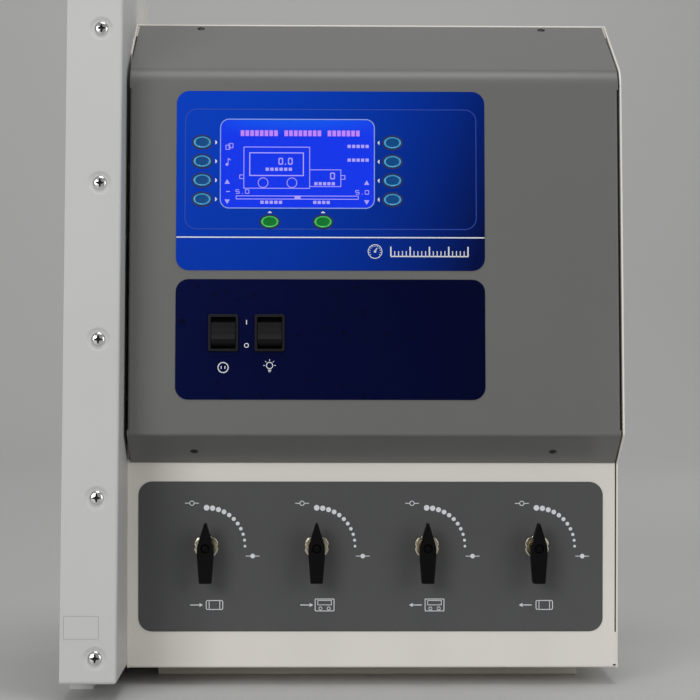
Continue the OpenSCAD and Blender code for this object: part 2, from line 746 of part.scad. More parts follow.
module board_standoffs() color("gold") console()
    for (x = [-1, 1] * (board_w / 2 - 6), z = [-1, 1] * (board_h / 2 - 6))
        translate([x, rear_in - standoff_len, board_z + z]) rotate([-90, 0, 0]) {
            cylinder(d = 6, h = standoff_len);
            translate([0, 0, -board_t]) cylinder(d = 3, h = board_t);
            translate([0, 0, -board_t - 2]) cylinder(d = 5.5, h = 2);
        }

module power_supply() color("silver") console()
    translate([supply_x, rear_in, supply_z]) {
        box([-49, -38, -50], [49, 0, 50]);
        for (i = [-3:3]) box([-40, -39, i * 12 - 1.5], [40, -38, i * 12 + 1.5]);
    }

module terminal_block() color("darkseagreen") console()
    translate([terminal_x, rear_in, supply_z]) difference() {
        box([-8, -16, -40], [8, 0, 40]);
        for (i = [-3:3]) translate([0, -17, i * 11]) rotate([-90, 0, 0]) cylinder(d = 5, h = 6);
    }

// Panel inlet for a mains cord: a socket with three blades, open to the rear
module power_inlet() color("#202020") console() translate([inlet_x, console_d, inlet_z]) {
    difference() {
        union() {
            box([-inlet_w / 2, -inlet_depth, -inlet_h / 2], [inlet_w / 2, 0, inlet_h / 2]);
            box([-25, 0, -12], [25, 2.5, 12]);
        }
        box([-inlet_w / 2 + 2, -inlet_depth + 5, -inlet_h / 2 + 2], [inlet_w / 2 - 2, 10, inlet_h / 2 - 2]);
        for (x = [-20, 20]) translate([x, 0, 0]) rotate([90, 0, 0]) cylinder(d = 3.2, h = 12, center = true);
    }
    for (p = [[-7, -2], [0, 2], [7, -2]])
        box([p[0] - 1, -inlet_depth + 5, p[1] - 2], [p[0] + 1, -5, p[1] + 2]);
}

// Flat cable from the keypad board down and back to the controller board
module ribbon_cable() {
    pad_side = face_low + 205 * along(90 - face_tilt) + 16.5 * along(-face_tilt);
    board_side = [rear_in - standoff_len - board_t - 9, board_z - 50.5];
    path = [pad_side, [60, pad_side[1] - 30], [board_side[0] - 40, board_side[1]], board_side];
    color("lightgray") across(-ribbon_w / 2, ribbon_w) polygon(sheet(path, [12, 12], 0.8));
}

cabinet_side_panel();
cabinet_base_rail();
cabinet_screws();
side_panel_left();
side_panel_right();
base_pan();
lower_front_panel();
front_cover();
top_panel();
rear_panel();
plinth_front();
plinth_rear();
cover_screws();
rear_screws();
console_bolts();
keypad_overlay();
display_window();
lcd_module();
keypad_board();
left_key(0);  // left_key_1
left_key(1);  // left_key_2
left_key(2);  // left_key_3
left_key(3);  // left_key_4
right_key(0);  // right_key_1
right_key(1);  // right_key_2
right_key(2);  // right_key_3
right_key(3);  // right_key_4
purge_key();
fill_key();
switch_overlay();
switch_housing(0);  // outlet_switch_housing
switch_housing(1);  // light_switch_housing
rocker(0);  // outlet_rocker
rocker(1);  // light_rocker
valve_overlay();
valve_panel_nuts();
valve_body(0);  // valve_body_1
valve_body(1);  // valve_body_2
valve_body(2);  // valve_body_3
valve_body(3);  // valve_body_4
valve_stem(0);  // valve_stem_1
valve_stem(1);  // valve_stem_2
valve_stem(2);  // valve_stem_3
valve_stem(3);  // valve_stem_4
valve_handle(0);  // valve_handle_1
valve_handle(1);  // valve_handle_2
valve_handle(2);  // valve_handle_3
valve_handle(3);  // valve_handle_4
gas_tubes();
bulkhead_ports();
port_nuts();
fill_solenoid();
purge_solenoid();
pressure_sensor();
controller_board();
board_standoffs();
power_supply();
terminal_block();
power_inlet();
ribbon_cable();
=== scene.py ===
import json
import math

import bmesh
import bpy
from mathutils import Matrix, Vector

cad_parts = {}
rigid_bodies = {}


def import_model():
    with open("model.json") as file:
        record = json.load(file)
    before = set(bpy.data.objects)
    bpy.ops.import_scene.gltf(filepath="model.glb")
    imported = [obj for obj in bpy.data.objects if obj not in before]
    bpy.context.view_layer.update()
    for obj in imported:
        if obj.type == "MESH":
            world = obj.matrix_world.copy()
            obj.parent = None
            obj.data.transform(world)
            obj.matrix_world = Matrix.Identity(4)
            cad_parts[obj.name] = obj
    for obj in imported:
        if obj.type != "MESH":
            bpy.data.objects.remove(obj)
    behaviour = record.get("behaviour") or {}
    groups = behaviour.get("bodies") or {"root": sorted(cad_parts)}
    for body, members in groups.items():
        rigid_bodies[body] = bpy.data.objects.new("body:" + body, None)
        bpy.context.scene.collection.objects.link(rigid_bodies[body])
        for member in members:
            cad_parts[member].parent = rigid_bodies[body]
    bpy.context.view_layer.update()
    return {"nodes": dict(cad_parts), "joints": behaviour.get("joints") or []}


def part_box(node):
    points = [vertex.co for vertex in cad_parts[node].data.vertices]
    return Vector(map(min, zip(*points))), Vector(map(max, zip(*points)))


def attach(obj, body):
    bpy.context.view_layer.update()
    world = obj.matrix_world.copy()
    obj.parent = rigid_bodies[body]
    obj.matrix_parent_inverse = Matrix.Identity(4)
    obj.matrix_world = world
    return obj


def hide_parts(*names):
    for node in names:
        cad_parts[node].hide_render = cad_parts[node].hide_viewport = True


for leftover in list(bpy.data.objects):
    bpy.data.objects.remove(leftover)
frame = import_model()
scene = bpy.context.scene
scene.view_settings.view_transform = "Standard"

# Lengths are in millimetres until a piece is finished, and then become metres.
joints = {joint["name"]: joint for joint in frame["joints"]}


def boxOf(node):
    low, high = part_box(node)
    return low * 1000, high * 1000


def middleOf(node):
    low, high = boxOf(node)
    return (low + high) / 2


def pivotOf(joint):
    return Vector(joints[joint]["pos_m"]) * 1000


def planeAt(origin, up):  # x to the right, y up along the plane, z out of it towards the user
    right = Vector((1, 0, 0))
    up = Vector(up).normalized()
    turn = Matrix((right, up, right.cross(up))).transposed().to_4x4()
    return Matrix.Translation(origin) @ turn


def at(x=0, y=0, z=0, turn=0):
    return Matrix.Translation((x, y, z)) @ Matrix.Rotation(math.radians(turn), 4, "Z")


filmThick = 0.5
pressAxis = Vector(joints["left_key_1_press"]["axis"])
faceUp = Vector((0, -pressAxis.z, pressAxis.y))
facePlane = planeAt(middleOf("keypad_overlay") + pressAxis * filmThick / 2, faceUp)
switchPlane = planeAt(middleOf("switch_overlay") + pressAxis * filmThick / 2, faceUp)
panelPlane = planeAt(middleOf("valve_overlay") + Vector((0, filmThick / 2, 0)), (0, 0, 1))


def onPlane(plane, point):  # a point's x and y on a plane
    local = plane.inverted() @ point
    return local.x, local.y


# Shapes

def chain(bm, points, place):
    # edges through the points, each (a, b) or (a, b, radius) where the corner is rounded
    verts = [bm.verts.new(place(p[0], p[1])) for p in points]
    for a, b in zip(verts, verts[1:]):
        bm.edges.new((a, b))
    for i in range(1, len(points) - 1):
        if len(points[i]) < 3:
            continue
        before, here, after = (Vector(points[k][:2]) for k in (i - 1, i, i + 1))
        bend = (here - before).angle(after - here)
        bmesh.ops.bevel(
            bm, geom=[verts[i]], offset=points[i][2] * math.tan(bend / 2),
            segments=max(3, int(math.degrees(bend) / 5)), profile=0.5, affect="VERTICES", material=-1,
        )
    return bm


def vertsOf(geometry):
    return [item for item in geometry if isinstance(item, bmesh.types.BMVert)]


def facesOf(geometry):
    return [item for item in geometry if isinstance(item, bmesh.types.BMFace)]


def lift(bm, faces, by):
    made = bmesh.ops.extrude_face_region(bm, geom=list(faces))["geom"]
    bmesh.ops.translate(bm, vec=by, verts=vertsOf(made))
    return facesOf(made)


def soften(bm, width, angle=50, steps=2, where=lambda edge: True):
    # rounds the edges that are sharper than the angle
    bmesh.ops.recalc_face_normals(bm, faces=bm.faces)
    bm.normal_update()
    sharp = [
        edge for edge in bm.edges
        if len(edge.link_faces) == 2 and edge.calc_face_angle() > math.radians(angle) and where(edge)
    ]
    bmesh.ops.bevel(
        bm, geom=sharp, offset=width, segments=steps, profile=0.5, affect="EDGES",
        clamp_overlap=True, material=-1,
    )
    return bm


def outline(points, low, high):
    # a flat shape of (x, y) or (x, y, radius) corners, from z = low to high
    bm = bmesh.new()
    verts = [bm.verts.new((p[0], p[1], low)) for p in points]
    bm.faces.new(verts)
    for vert, point in zip(verts, points):
        if len(point) > 2 and point[2] > 0:
            sides = [edge.other_vert(vert).co - vert.co for edge in vert.link_edges]
            bend = math.pi - sides[0].angle(sides[1])
            bmesh.ops.bevel(
                bm, geom=[vert], offset=point[2] * math.tan(bend / 2),
                segments=max(3, int(math.degrees(bend) / 9)), profile=0.5, affect="VERTICES", material=-1,
            )
    lift(bm, bm.faces[:], (0, 0, high - low))
    return bm


def plate(width, height, low, high, radius=0.0):
    x, y = width / 2, height / 2
    return outline([(x, y, radius), (-x, y, radius), (-x, -y, radius), (x, -y, radius)], low, high)


def border(width, height, line, low, high, radius=0.0):
    # the outline of a rectangle, drawn as a flat line
    bm = plate(width, height, low, high, radius)
    inner = plate(width - 2 * line, height - 2 * line, low - 1, high + 1, max(0.0, radius - line))
    return carve(bm, inner)


def spun(profile, steps=48):
    # a round shape about Z, from (radius, height) or (radius, height, rounding) points
    bm = chain(bmesh.new(), profile, lambda r, z: (r, 0, z))
    bmesh.ops.spin(
        bm, geom=bm.verts[:] + bm.edges[:], cent=(0, 0, 0), axis=(0, 0, 1), dvec=(0, 0, 0),
        angle=math.tau, steps=steps, use_merge=True, use_duplicate=False,
    )
    bmesh.ops.remove_doubles(bm, verts=bm.verts, dist=0.001)
    return bm


def disc(radius, low, high, steps=24):
    bm = bmesh.new()
    bmesh.ops.create_circle(bm, cap_ends=True, radius=radius, segments=steps)
    bmesh.ops.translate(bm, vec=(0, 0, low), verts=bm.verts)
    lift(bm, bm.faces[:], (0, 0, high - low))
    return bm


def ring(radius, line, low, high, steps=36):
    r, s = radius - line / 2, radius + line / 2
    return spun([(r, low), (s, low), (s, high), (r, high), (r, low)], steps)


def stroke(a, b, line, low, high):
    # a straight line from point a to point b
    bm = plate((Vector(b) - Vector(a)).length, line, low, high)
    middle = (Vector(a) + Vector(b)) / 2
    angle = math.degrees(math.atan2(b[1] - a[1], b[0] - a[0]))
    bm.transform(at(middle.x, middle.y, 0, angle))
    return bm


def joined(*parts):
    # several shapes as one; each is a shape or a (shape, place) pair
    whole = bmesh.new()
    for part in parts:
        bm, place = part if isinstance(part, tuple) else (part, Matrix())
        bm.transform(place)
        mesh = bpy.data.meshes.new("part")
        bm.to_mesh(mesh)
        bm.free()
        whole.from_mesh(mesh)
        bpy.data.meshes.remove(mesh)
    return whole


def carve(bm, tool, operation="DIFFERENCE"):
    # cuts one closed shape out of another, or joins the two
    holders = []
    for shape in (bm, tool):
        bmesh.ops.recalc_face_normals(shape, faces=shape.faces)
        mesh = bpy.data.meshes.new("carve")
        shape.to_mesh(mesh)
        shape.free()
        holders.append(bpy.data.objects.new("carve", mesh))
        scene.collection.objects.link(holders[-1])
    modifier = holders[0].modifiers.new("carve", "BOOLEAN")
    modifier.operation = operation
    modifier.object = holders[1]
    modifier.solver = "EXACT"
    bpy.context.view_layer.update()
    result = bmesh.new()
    result.from_object(holders[0], bpy.context.evaluated_depsgraph_get())
    for holder in holders:
        mesh = holder.data
        bpy.data.objects.remove(holder)
        bpy.data.meshes.remove(mesh)
    return result


def folded(points, stops, dropped=lambda middle: False):
    # sheet steel bent along (y, z) points and running along X through the stops, not yet thick,
    # without the faces that dropped() picks
    bm = chain(bmesh.new(), points, lambda y, z: (stops[0], y, z))
    for here, there in zip(stops, stops[1:]):
        edge = [e for e in bm.edges if all(abs(v.co.x - here) < 1e-4 for v in e.verts)]
        made = bmesh.ops.extrude_edge_only(bm, edges=edge)["geom"]
        bmesh.ops.translate(bm, vec=(there - here, 0, 0), verts=vertsOf(made))
    gone = [face for face in bm.faces if dropped(face.calc_center_median())]
    bmesh.ops.delete(bm, geom=gone, context="FACES")
    bmesh.ops.recalc_face_normals(bm, faces=bm.faces)
    return bm


def thicken(bm, thick, inside):
    # gives an open sheet its thickness on the side where the inner point lies
    bmesh.ops.recalc_face_normals(bm, faces=bm.faces)
    bm.normal_update()
    outward = sum(
        (face.calc_center_median() - inside).dot(face.normal) * face.calc_area() for face in bm.faces
    )
    if outward < 0:
        bmesh.ops.reverse_faces(bm, faces=bm.faces[:])
        bm.normal_update()
    bmesh.ops.solidify(bm, geom=bm.faces[:], thickness=thick)
    bmesh.ops.recalc_face_normals(bm, faces=bm.faces)
    return bm


def finishPiece(name, bm, finish, place=None, stands=(), body="console", smooth=35):
    # makes a shape an object with its place in its mesh, and hangs it on a body
    if place is not None:
        bm.transform(place)
    bmesh.ops.remove_doubles(bm, verts=bm.verts, dist=0.0005)
    bmesh.ops.dissolve_degenerate(bm, edges=bm.edges, dist=0.0002)
    bmesh.ops.recalc_face_normals(bm, faces=bm.faces)
    bm.transform(Matrix.Scale(0.001, 4))
    mesh = bpy.data.meshes.new(name)
    bm.to_mesh(mesh)
    bm.free()
    mesh.shade_smooth()
    mesh.set_sharp_from_angle(angle=math.radians(smooth))
    piece = bpy.data.objects.new(name, mesh)
    scene.collection.objects.link(piece)
    for layer in [finish] if isinstance(finish, str) else finish:
        mesh.materials.append(finishes[layer])
    level = piece.modifiers.new("level", "WEIGHTED_NORMAL")  # large faces shade flat
    level.keep_sharp = True
    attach(piece, body)
    if stands:
        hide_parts(*stands)
    return piece


# Materials

def colour(red, green, blue):  # screen values from 0 to 255
    def linear(value):
        value /= 255
        return value / 12.92 if value <= 0.04045 else ((value + 0.055) / 1.055) ** 2.4
    return (linear(red), linear(green), linear(blue), 1.0)


class Shade:  # a shader socket that Python's operators work on
    def __init__(self, tree, socket=None):
        self.tree = tree
        self.socket = socket

    def node(self, kind, settings=None, inputs=None, output=0):
        made = self.tree.nodes.new("ShaderNode" + kind)
        for name, value in (settings or {}).items():
            setattr(made, name, value)
        for name, value in (inputs or {}).items():
            if isinstance(value, Shade):
                self.tree.links.new(value.socket, made.inputs[name])
            else:
                made.inputs[name].default_value = value
        return Shade(self.tree, made.outputs[output])

    def maths(self, operation, a, b=0.0, clamp=False):
        return self.node("Math", {"operation": operation, "use_clamp": clamp}, {0: a, 1: b})

    def __add__(self, other):
        return self.maths("ADD", self, other)

    def __radd__(self, other):
        return self.maths("ADD", other, self)

    def __sub__(self, other):
        return self.maths("SUBTRACT", self, other)

    def __rsub__(self, other):
        return self.maths("SUBTRACT", other, self)

    def __mul__(self, other):
        return self.maths("MULTIPLY", self, other)

    def __rmul__(self, other):
        return self.maths("MULTIPLY", other, self)

    def __truediv__(self, other):
        return self.maths("DIVIDE", self, other)

    def __gt__(self, other):
        return self.maths("GREATER_THAN", self, other)

    def __lt__(self, other):
        return self.maths("LESS_THAN", self, other)

    def clipped(self):
        return self.maths("ADD", self, 0.0, clamp=True)

    def sine(self):
        return self.maths("SINE", self)

    def place(self):  # where on the piece, in metres
        return self.node("TexCoord", output="Object")

    def axes(self):
        split = self.node("SeparateXYZ", None, {0: self}).socket.node
        return [Shade(self.tree, out) for out in split.outputs]

    def noise(self, scale, detail=2.0, stretch=None):
        place = self.place()
        if stretch:
            place = self.node("Mapping", None, {"Vector": place, "Scale": stretch})
        return self.node("TexNoise", None, {"Vector": place, "Scale": scale, "Detail": detail})

    def between(self, mask, first, second):
        return self.node("Mix", {"data_type": "RGBA"}, {0: mask, 6: first, 7: second}, 2)

    def toned(self, paint, tone):
        settings = {"data_type": "RGBA", "blend_type": "MULTIPLY"}
        return self.node("Mix", settings, {0: 1.0, 6: paint, 7: tone}, 2)

    def bump(self, height, strength, distance=0.0002):
        return self.node("Bump", None, {"Height": height, "Strength": strength, "Distance": distance})


def material(name, recipe, *details):
    made = bpy.data.materials.new(name)
    made.use_nodes = True
    surface = made.node_tree.nodes["Principled BSDF"]
    for socket, value in recipe(Shade(made.node_tree), *details).items():
        if isinstance(value, Shade):
            made.node_tree.links.new(value.socket, surface.inputs[socket])
        else:
            surface.inputs[socket].default_value = value
    return made


def powderCoat(base, paint, roughness, texture):
    # baked paint: a fine orange-peel skin, slightly cloudy in tone
    skin = base.noise(1100, 3)
    cloud = base.noise(7, 3)
    return {
        "Base Color": base.toned(paint, skin * 0.05 + cloud * 0.07 + 0.94),
        "Roughness": skin * 0.12 + cloud * 0.08 + (roughness - 0.1),
        "Normal": base.bump(skin, texture),
        "Specular IOR Level": 0.32,
    }


def polished(base, metal, roughness, streak):
    # plated or machined metal with faint turning marks
    marks = base.noise(900, 2, streak)
    dull = base.noise(60, 3)
    return {
        "Base Color": base.toned(metal, dull * 0.16 + 0.92),
        "Metallic": 1.0,
        "Roughness": marks * 0.1 + dull * 0.12 + (roughness - 0.1),
        "Normal": base.bump(marks, 0.08, 0.00005),
    }


def moulded(base, plastic, roughness, texture, gloss=0.5):
    # moulded plastic with a spark-eroded grain
    grain = base.noise(2600, 2)
    wear = base.noise(45, 3)
    return {
        "Base Color": base.toned(plastic, grain * 0.16 + wear * 0.18 + 0.83),
        "Roughness": grain * 0.14 + wear * 0.1 + (roughness - 0.12),
        "Normal": base.bump(grain, texture),
        "Specular IOR Level": gloss,
    }


def blueFilm(base, litTone, shadedTone):
    # printed polyester with painted light: brighter to the upper left, darker to the lower right
    x, y, z = base.place().axes()
    low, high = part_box("keypad_overlay")
    across = (x - low.x) / (high.x - low.x)
    upward = (z - low.z) / (high.z - low.z)
    # painted light: the film lightens towards the upper left, where the light falls, and darkens to the lower
    # right
    paintedLightRamp = (across * across * 0.8 + (1 - upward) * 0.3 - 0.04).clipped()
    skin = base.noise(1500, 2)
    return {
        "Base Color": base.toned(base.between(paintedLightRamp, litTone, shadedTone), skin * 0.06 + 0.97),
        "Roughness": skin * 0.08 + 0.3,
        "Normal": base.bump(skin, 0.06, 0.0001),
        "Specular IOR Level": 0.07,
    }


def navyFilm(base, litTone, shadedTone):
    # dark printed film with a few specks in it, a tone that varies at random, and painted light: lighter to
    # the left, darker to the right
    x, y, z = base.place().axes()
    low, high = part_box("switch_overlay")
    across = (x - low.x) / (high.x - low.x)
    skin = base.noise(1500, 2)
    specks = (base.noise(170, 0) < 0.2) * 0.75
    cloud = base.noise(18, 3)
    # painted light: lighter to the left, darker to the right; the cloud adds a random tone
    paint = base.between((across * 0.8 + cloud * 0.4 - 0.2).clipped(), litTone, shadedTone)
    return {
        "Base Color": base.between(specks, paint, colour(2, 5, 20)),
        "Roughness": skin * 0.08 + 0.28,
        "Normal": base.bump(skin, 0.06, 0.0001),
        "Specular IOR Level": 0.05,
    }


def greyFilm(base, paint):
    # matt printed film
    skin = base.noise(1700, 2)
    cloud = base.noise(9, 3)
    return {
        "Base Color": base.toned(paint, cloud * 0.12 + skin * 0.06 + 0.91),
        "Roughness": skin * 0.1 + cloud * 0.06 + 0.42,
        "Normal": base.bump(skin, 0.07, 0.0001),
        "Specular IOR Level": 0.25,
    }


def printed(base, ink):
    grain = base.noise(2400, 2)
    return {
        "Base Color": base.toned(ink, grain * 0.08 + 0.95),
        "Roughness": grain * 0.1 + 0.45,
    }


def litScreen(base, glow, edge, strength):
    # a backlit liquid crystal, paler along its top edge, made of small cells
    x, y, z = base.place().axes()
    low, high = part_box("display_window")
    upward = (z - low.z) / (high.z - low.z)
    across = (x - low.x) / (high.x - low.x)
    top = ((upward - 0.8) * 4).clipped() * (across * (1 - across) * 3 + 0.25)
    cells = ((x * 12000).sine() * (z * 12000).sine()) * 0.03 + 0.97
    return {
        "Base Color": colour(6, 8, 60),
        "Roughness": base.noise(300, 2) * 0.1 + 0.35,
        "Specular IOR Level": 0.05,
        "Emission Color": base.toned(base.between(top.clipped(), glow, edge), cells),
        "Emission Strength": strength,
    }


def litMark(base, glow, strength):
    x, y, z = base.place().axes()
    cells = ((x * 7000).sine() * (z * 7000).sine()) * 0.1 + 0.9
    return {
        "Base Color": colour(40, 40, 90),
        "Roughness": cells * 0.2 + 0.3,
        "Specular IOR Level": 0.05,
        "Emission Color": base.toned(glow, cells),
        "Emission Strength": strength,
    }


def clearPane(base):
    smears = base.noise(25, 3)
    return {
        "Base Color": colour(60, 80, 170),
        "Roughness": smears * 0.06 + 0.05,
        "Alpha": smears * 0.02 + 0.03,
    }


def lacquered(base, mask, copper):
    # circuit board: green lacquer over copper tracks
    x, y, z = base.place().axes()
    lines = ((x * 1800 + (z * 130).sine() * 2).sine() > 0.72) * ((z * 260).sine() > -0.5)
    rows = ((z * 1500).sine() > 0.85) * ((x * 210).sine() > 0.1)
    tracks = (lines + rows).clipped()
    return {
        "Base Color": base.between(tracks, mask, copper),
        "Roughness": base.noise(200, 2) * 0.15 + 0.28,
        "Normal": base.bump(tracks, 0.25, 0.0001),
    }


def striped(base, plain, accent):
    # flat cable: one line of wires beside the other, the first one coloured
    x, y, z = base.place().axes()
    wires = (x * 4950).sine() * 0.5 + 0.5
    low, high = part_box("ribbon_cable")
    first = x < low.x + 0.0018
    return {
        "Base Color": base.between(first, base.toned(plain, wires * 0.25 + 0.8), accent),
        "Roughness": wires * 0.1 + 0.45,
        "Normal": base.bump(wires, 0.5, 0.0005),
    }


recipes = {
    "cabinetPaint": (powderCoat, colour(206, 206, 203), 0.5, 0.14),
    "casingPaint": (powderCoat, colour(238, 233, 225), 0.46, 0.12),
    "plinthPaint": (powderCoat, colour(228, 222, 208), 0.55, 0.14),
    "coverPaint": (powderCoat, colour(110, 110, 108), 0.36, 0.16),
    "chrome": (polished, colour(226, 226, 224), 0.2, (1, 1, 1)),
    # dark finish inside the screws' cross recesses: painted shade
    "recess": (moulded, colour(34, 34, 33), 0.5, 0.1, 0.2),
    "blackScrew": (moulded, colour(14, 14, 15), 0.3, 0.05),
    # the blue and navy films each come in a lit and a shaded tone: painted light
    "blueFilm": (blueFilm, colour(0, 65, 200), colour(0, 14, 70)),
    "navyFilm": (navyFilm, colour(2, 10, 58), colour(2, 5, 38)),
    "greyFilm": (greyFilm, colour(86, 86, 87)),
    "whiteInk": (printed, colour(236, 238, 242)),
    "paleBlueInk": (printed, colour(142, 166, 248)),
    "frameInk": (printed, colour(12, 62, 172)),
    # a dark blue ring round each key: painted shadow
    "shadeInk": (printed, colour(0, 16, 84)),
    "screen": (litScreen, colour(10, 52, 236), colour(6, 100, 242), 1.0),
    "screenInk": (litMark, colour(178, 168, 255), 1.05),
    "titleInk": (litMark, colour(204, 140, 255), 1.0),
    "pane": (clearPane,),
    # the key ridges take a lighter copy of the key colour: a painted highlight
    "keyRimBlue": (moulded, colour(70, 168, 222), 0.24, 0.04),
    "keyBlue": (moulded, colour(0, 78, 140), 0.34, 0.06, 0.2),
    "keyRimGreen": (moulded, colour(70, 205, 96), 0.24, 0.04),
    "keyGreen": (moulded, colour(0, 124, 44), 0.34, 0.06, 0.2),
    "switchBlack": (moulded, colour(18, 18, 22), 0.36, 0.08, 0.2),
    "rockerBlack": (moulded, colour(17, 17, 17), 0.4, 0.1, 0.18),
    "nickel": (polished, colour(186, 178, 160), 0.17, (1, 1, 1)),
    "brass": (polished, colour(190, 160, 96), 0.36, (1, 6, 1)),
    "stemSteel": (polished, colour(190, 190, 192), 0.3, (1, 8, 1)),
    "handleBlack": (moulded, colour(6, 6, 6), 0.42, 0.1, 0.1),
    "solenoidBlack": (moulded, colour(30, 33, 34), 0.5, 0.14),
    "tubeCopper": (polished, colour(196, 130, 92), 0.34, (1, 1, 1)),
    "whitePlastic": (moulded, colour(214, 214, 210), 0.45, 0.08),
    "supplySteel": (polished, colour(178, 180, 182), 0.42, (1, 1, 12)),
    "terminalGreen": (moulded, colour(60, 140, 80), 0.45, 0.1),
    "board": (lacquered, colour(12, 78, 40), colour(38, 120, 66)),
    "ribbon": (striped, colour(168, 170, 172), colour(176, 36, 40)),
    "sticker": (printed, colour(206, 206, 203)),
    "stickerInk": (printed, colour(150, 152, 156)),
    "inletBlack": (moulded, colour(26, 26, 28), 0.4, 0.1),
}
finishes = {name: material(name, *recipe) for name, recipe in recipes.items()}
print("materials made:", len(finishes))

# Carried-over frame nodes and their finishes
carried = {
    "cabinet_base_rail": "cabinetPaint", "base_pan": "casingPaint", "plinth_rear": "plinthPaint",
    "rear_panel": "casingPaint", "rear_screws": "chrome", "console_bolts": "chrome",
    "keypad_board": "board", "controller_board": "board", "board_standoffs": "brass",
    "gas_tubes": "tubeCopper", "bulkhead_ports": "brass", "port_nuts": "brass",
    "fill_solenoid": "solenoidBlack", "purge_solenoid": "solenoidBlack", "pressure_sensor": "whitePlastic",
    "power_supply": "supplySteel", "terminal_block": "terminalGreen", "power_inlet": "inletBlack",
    "ribbon_cable": "ribbon",
}
for i in range(1, 5):
    carried[f"valve_body_{i}"] = "brass"
    carried[f"valve_stem_{i}"] = "stemSteel"
for node, finish in carried.items():
    for slot in frame["nodes"][node].material_slots:
        slot.material = finishes[finish]

# What shows through the cover and its films: the display's window, the keys and the switches
window = {"width": 131.0, "height": 76.0, "corner": 7.0}
keyHole = (15.6, 10.6)
switchHole = (24.4, 30.0)
keys = {f"{side}_key_{i}": "Blue" for side in ("left", "right") for i in range(1, 5)}
keys.update({"purge_key": "Green", "fill_key": "Green"})
windowPlane = facePlane @ at(*onPlane(facePlane, middleOf("display_window")))
casingMiddle = (middleOf("front_cover") + middleOf("rear_panel")) / 2


def ellipseHole(width, height):
    bm = disc(0.5, -3, 3, 48)
    bmesh.ops.scale(bm, vec=(width, height, 1), verts=bm.verts)
    return bm


def keyHoles():
    return [(ellipseHole(*keyHole), at(*onPlane(facePlane, middleOf(key)))) for key in keys]


def switchHoles():
    return [(plate(*switchHole, -8, 8, 0.6), at(*onPlane(switchPlane, pivotOf(f"{name}_switch_rock"))))
            for name in ("outlet", "light")]


# Front cover: underside, control face with turned-in side edges, bend and sloping roof
cover = {
    "thick": 1.6,
    "chin": 47.5,          # length of the underside
    "chinPitch": 32.5,
    "face": 312.0,
    "roof": 121.5,
    "roofPitch": 27.2,
    "bend": 20.0,
    "chinBend": 2.5,
    "edgeBend": 2.0,       # radius of the turned-in edges
    "step": 0.7,           # how far they lie inside the roof's edges
    "turnedIn": 9.0,
    "relief": (4.5, 14.5),  # where they stop, from the face's lower and upper bend
    "round": 0.22,
}


def along(degrees):
    return Vector((math.cos(math.radians(degrees)), math.sin(math.radians(degrees))))


faceLean = math.degrees(math.atan2(faceUp.z, faceUp.y))
coverLow, coverHigh = boxOf("front_cover")
roofAlong, chinAlong = along(cover["roofPitch"]), along(180 - cover["chinPitch"])
roofEnd = Vector((coverHigh.y - cover["thick"] * roofAlong.y, coverHigh.z))  # the side's corners as (y, z)
faceTop = roofEnd - cover["roof"] * roofAlong
faceLow = faceTop - cover["face"] * along(faceLean)


def makeCover():
    low, high = coverLow, coverHigh
    chinEnd = faceLow - cover["chin"] * chinAlong
    stops = [faceLow + cover["relief"][0] * along(faceLean), faceTop - cover["relief"][1] * along(faceLean)]
    points = [
        chinEnd, (*faceLow, cover["chinBend"]), stops[0], stops[1], (*faceTop, cover["bend"]), roofEnd
    ]
    tangent = cover["edgeBend"] + cover["step"]
    xs = [low.x, low.x + tangent, high.x - tangent, high.x]

    def besideFace(p):
        return (p.x < xs[1] or p.x > xs[2]) and stops[0].y < p.z < stops[1].y

    bm = folded([tuple(p) for p in points], xs, besideFace)
    for x, side in ((xs[1], -1), (xs[2], 1)):
        onEdge = {
            v for v in bm.verts
            if abs(v.co.x - x) < 1e-3 and stops[0].y - 0.01 < v.co.z < stops[1].y + 0.01
        }
        edges = [
            e for e in bm.edges
            if e.is_boundary and onEdge.issuperset(e.verts) and abs(e.verts[0].co.z - e.verts[1].co.z) > 1
        ]
        centre = Vector((x, 0, 0)) + Vector((0, stops[0].x, stops[0].y)) + pressAxis * cover["edgeBend"]
        made = bmesh.ops.spin(
            bm, geom=edges + list(dict.fromkeys(v for e in edges for v in e.verts)), cent=centre, axis=faceUp,
            dvec=(0, 0, 0), angle=math.radians(90 * side), steps=5, use_merge=False, use_duplicate=False,
        )["geom_last"]
        last = [e for e in made if isinstance(e, bmesh.types.BMEdge)]
        made = bmesh.ops.extrude_edge_only(bm, edges=last)["geom"]
        bmesh.ops.translate(bm, vec=pressAxis * cover["turnedIn"], verts=vertsOf(made))
    thicken(bm, cover["thick"], casingMiddle)
    soften(bm, cover["round"], 60)
    hole = plate(window["width"] + 4, window["height"] + 4, -8, 8, window["corner"])
    hole.transform(windowPlane)
    bm = carve(bm, hole)
    holes = [(disc(2.1, -12, 12), screwPlace) for screwPlace in coverScrewPlaces()]
    holes += [(joined(*keyHoles()), facePlane), (joined(*switchHoles()), switchPlane)]
    bm = carve(bm, joined(*holes))
    finishPiece("frontCover", bm, "coverPaint", stands=["front_cover"])


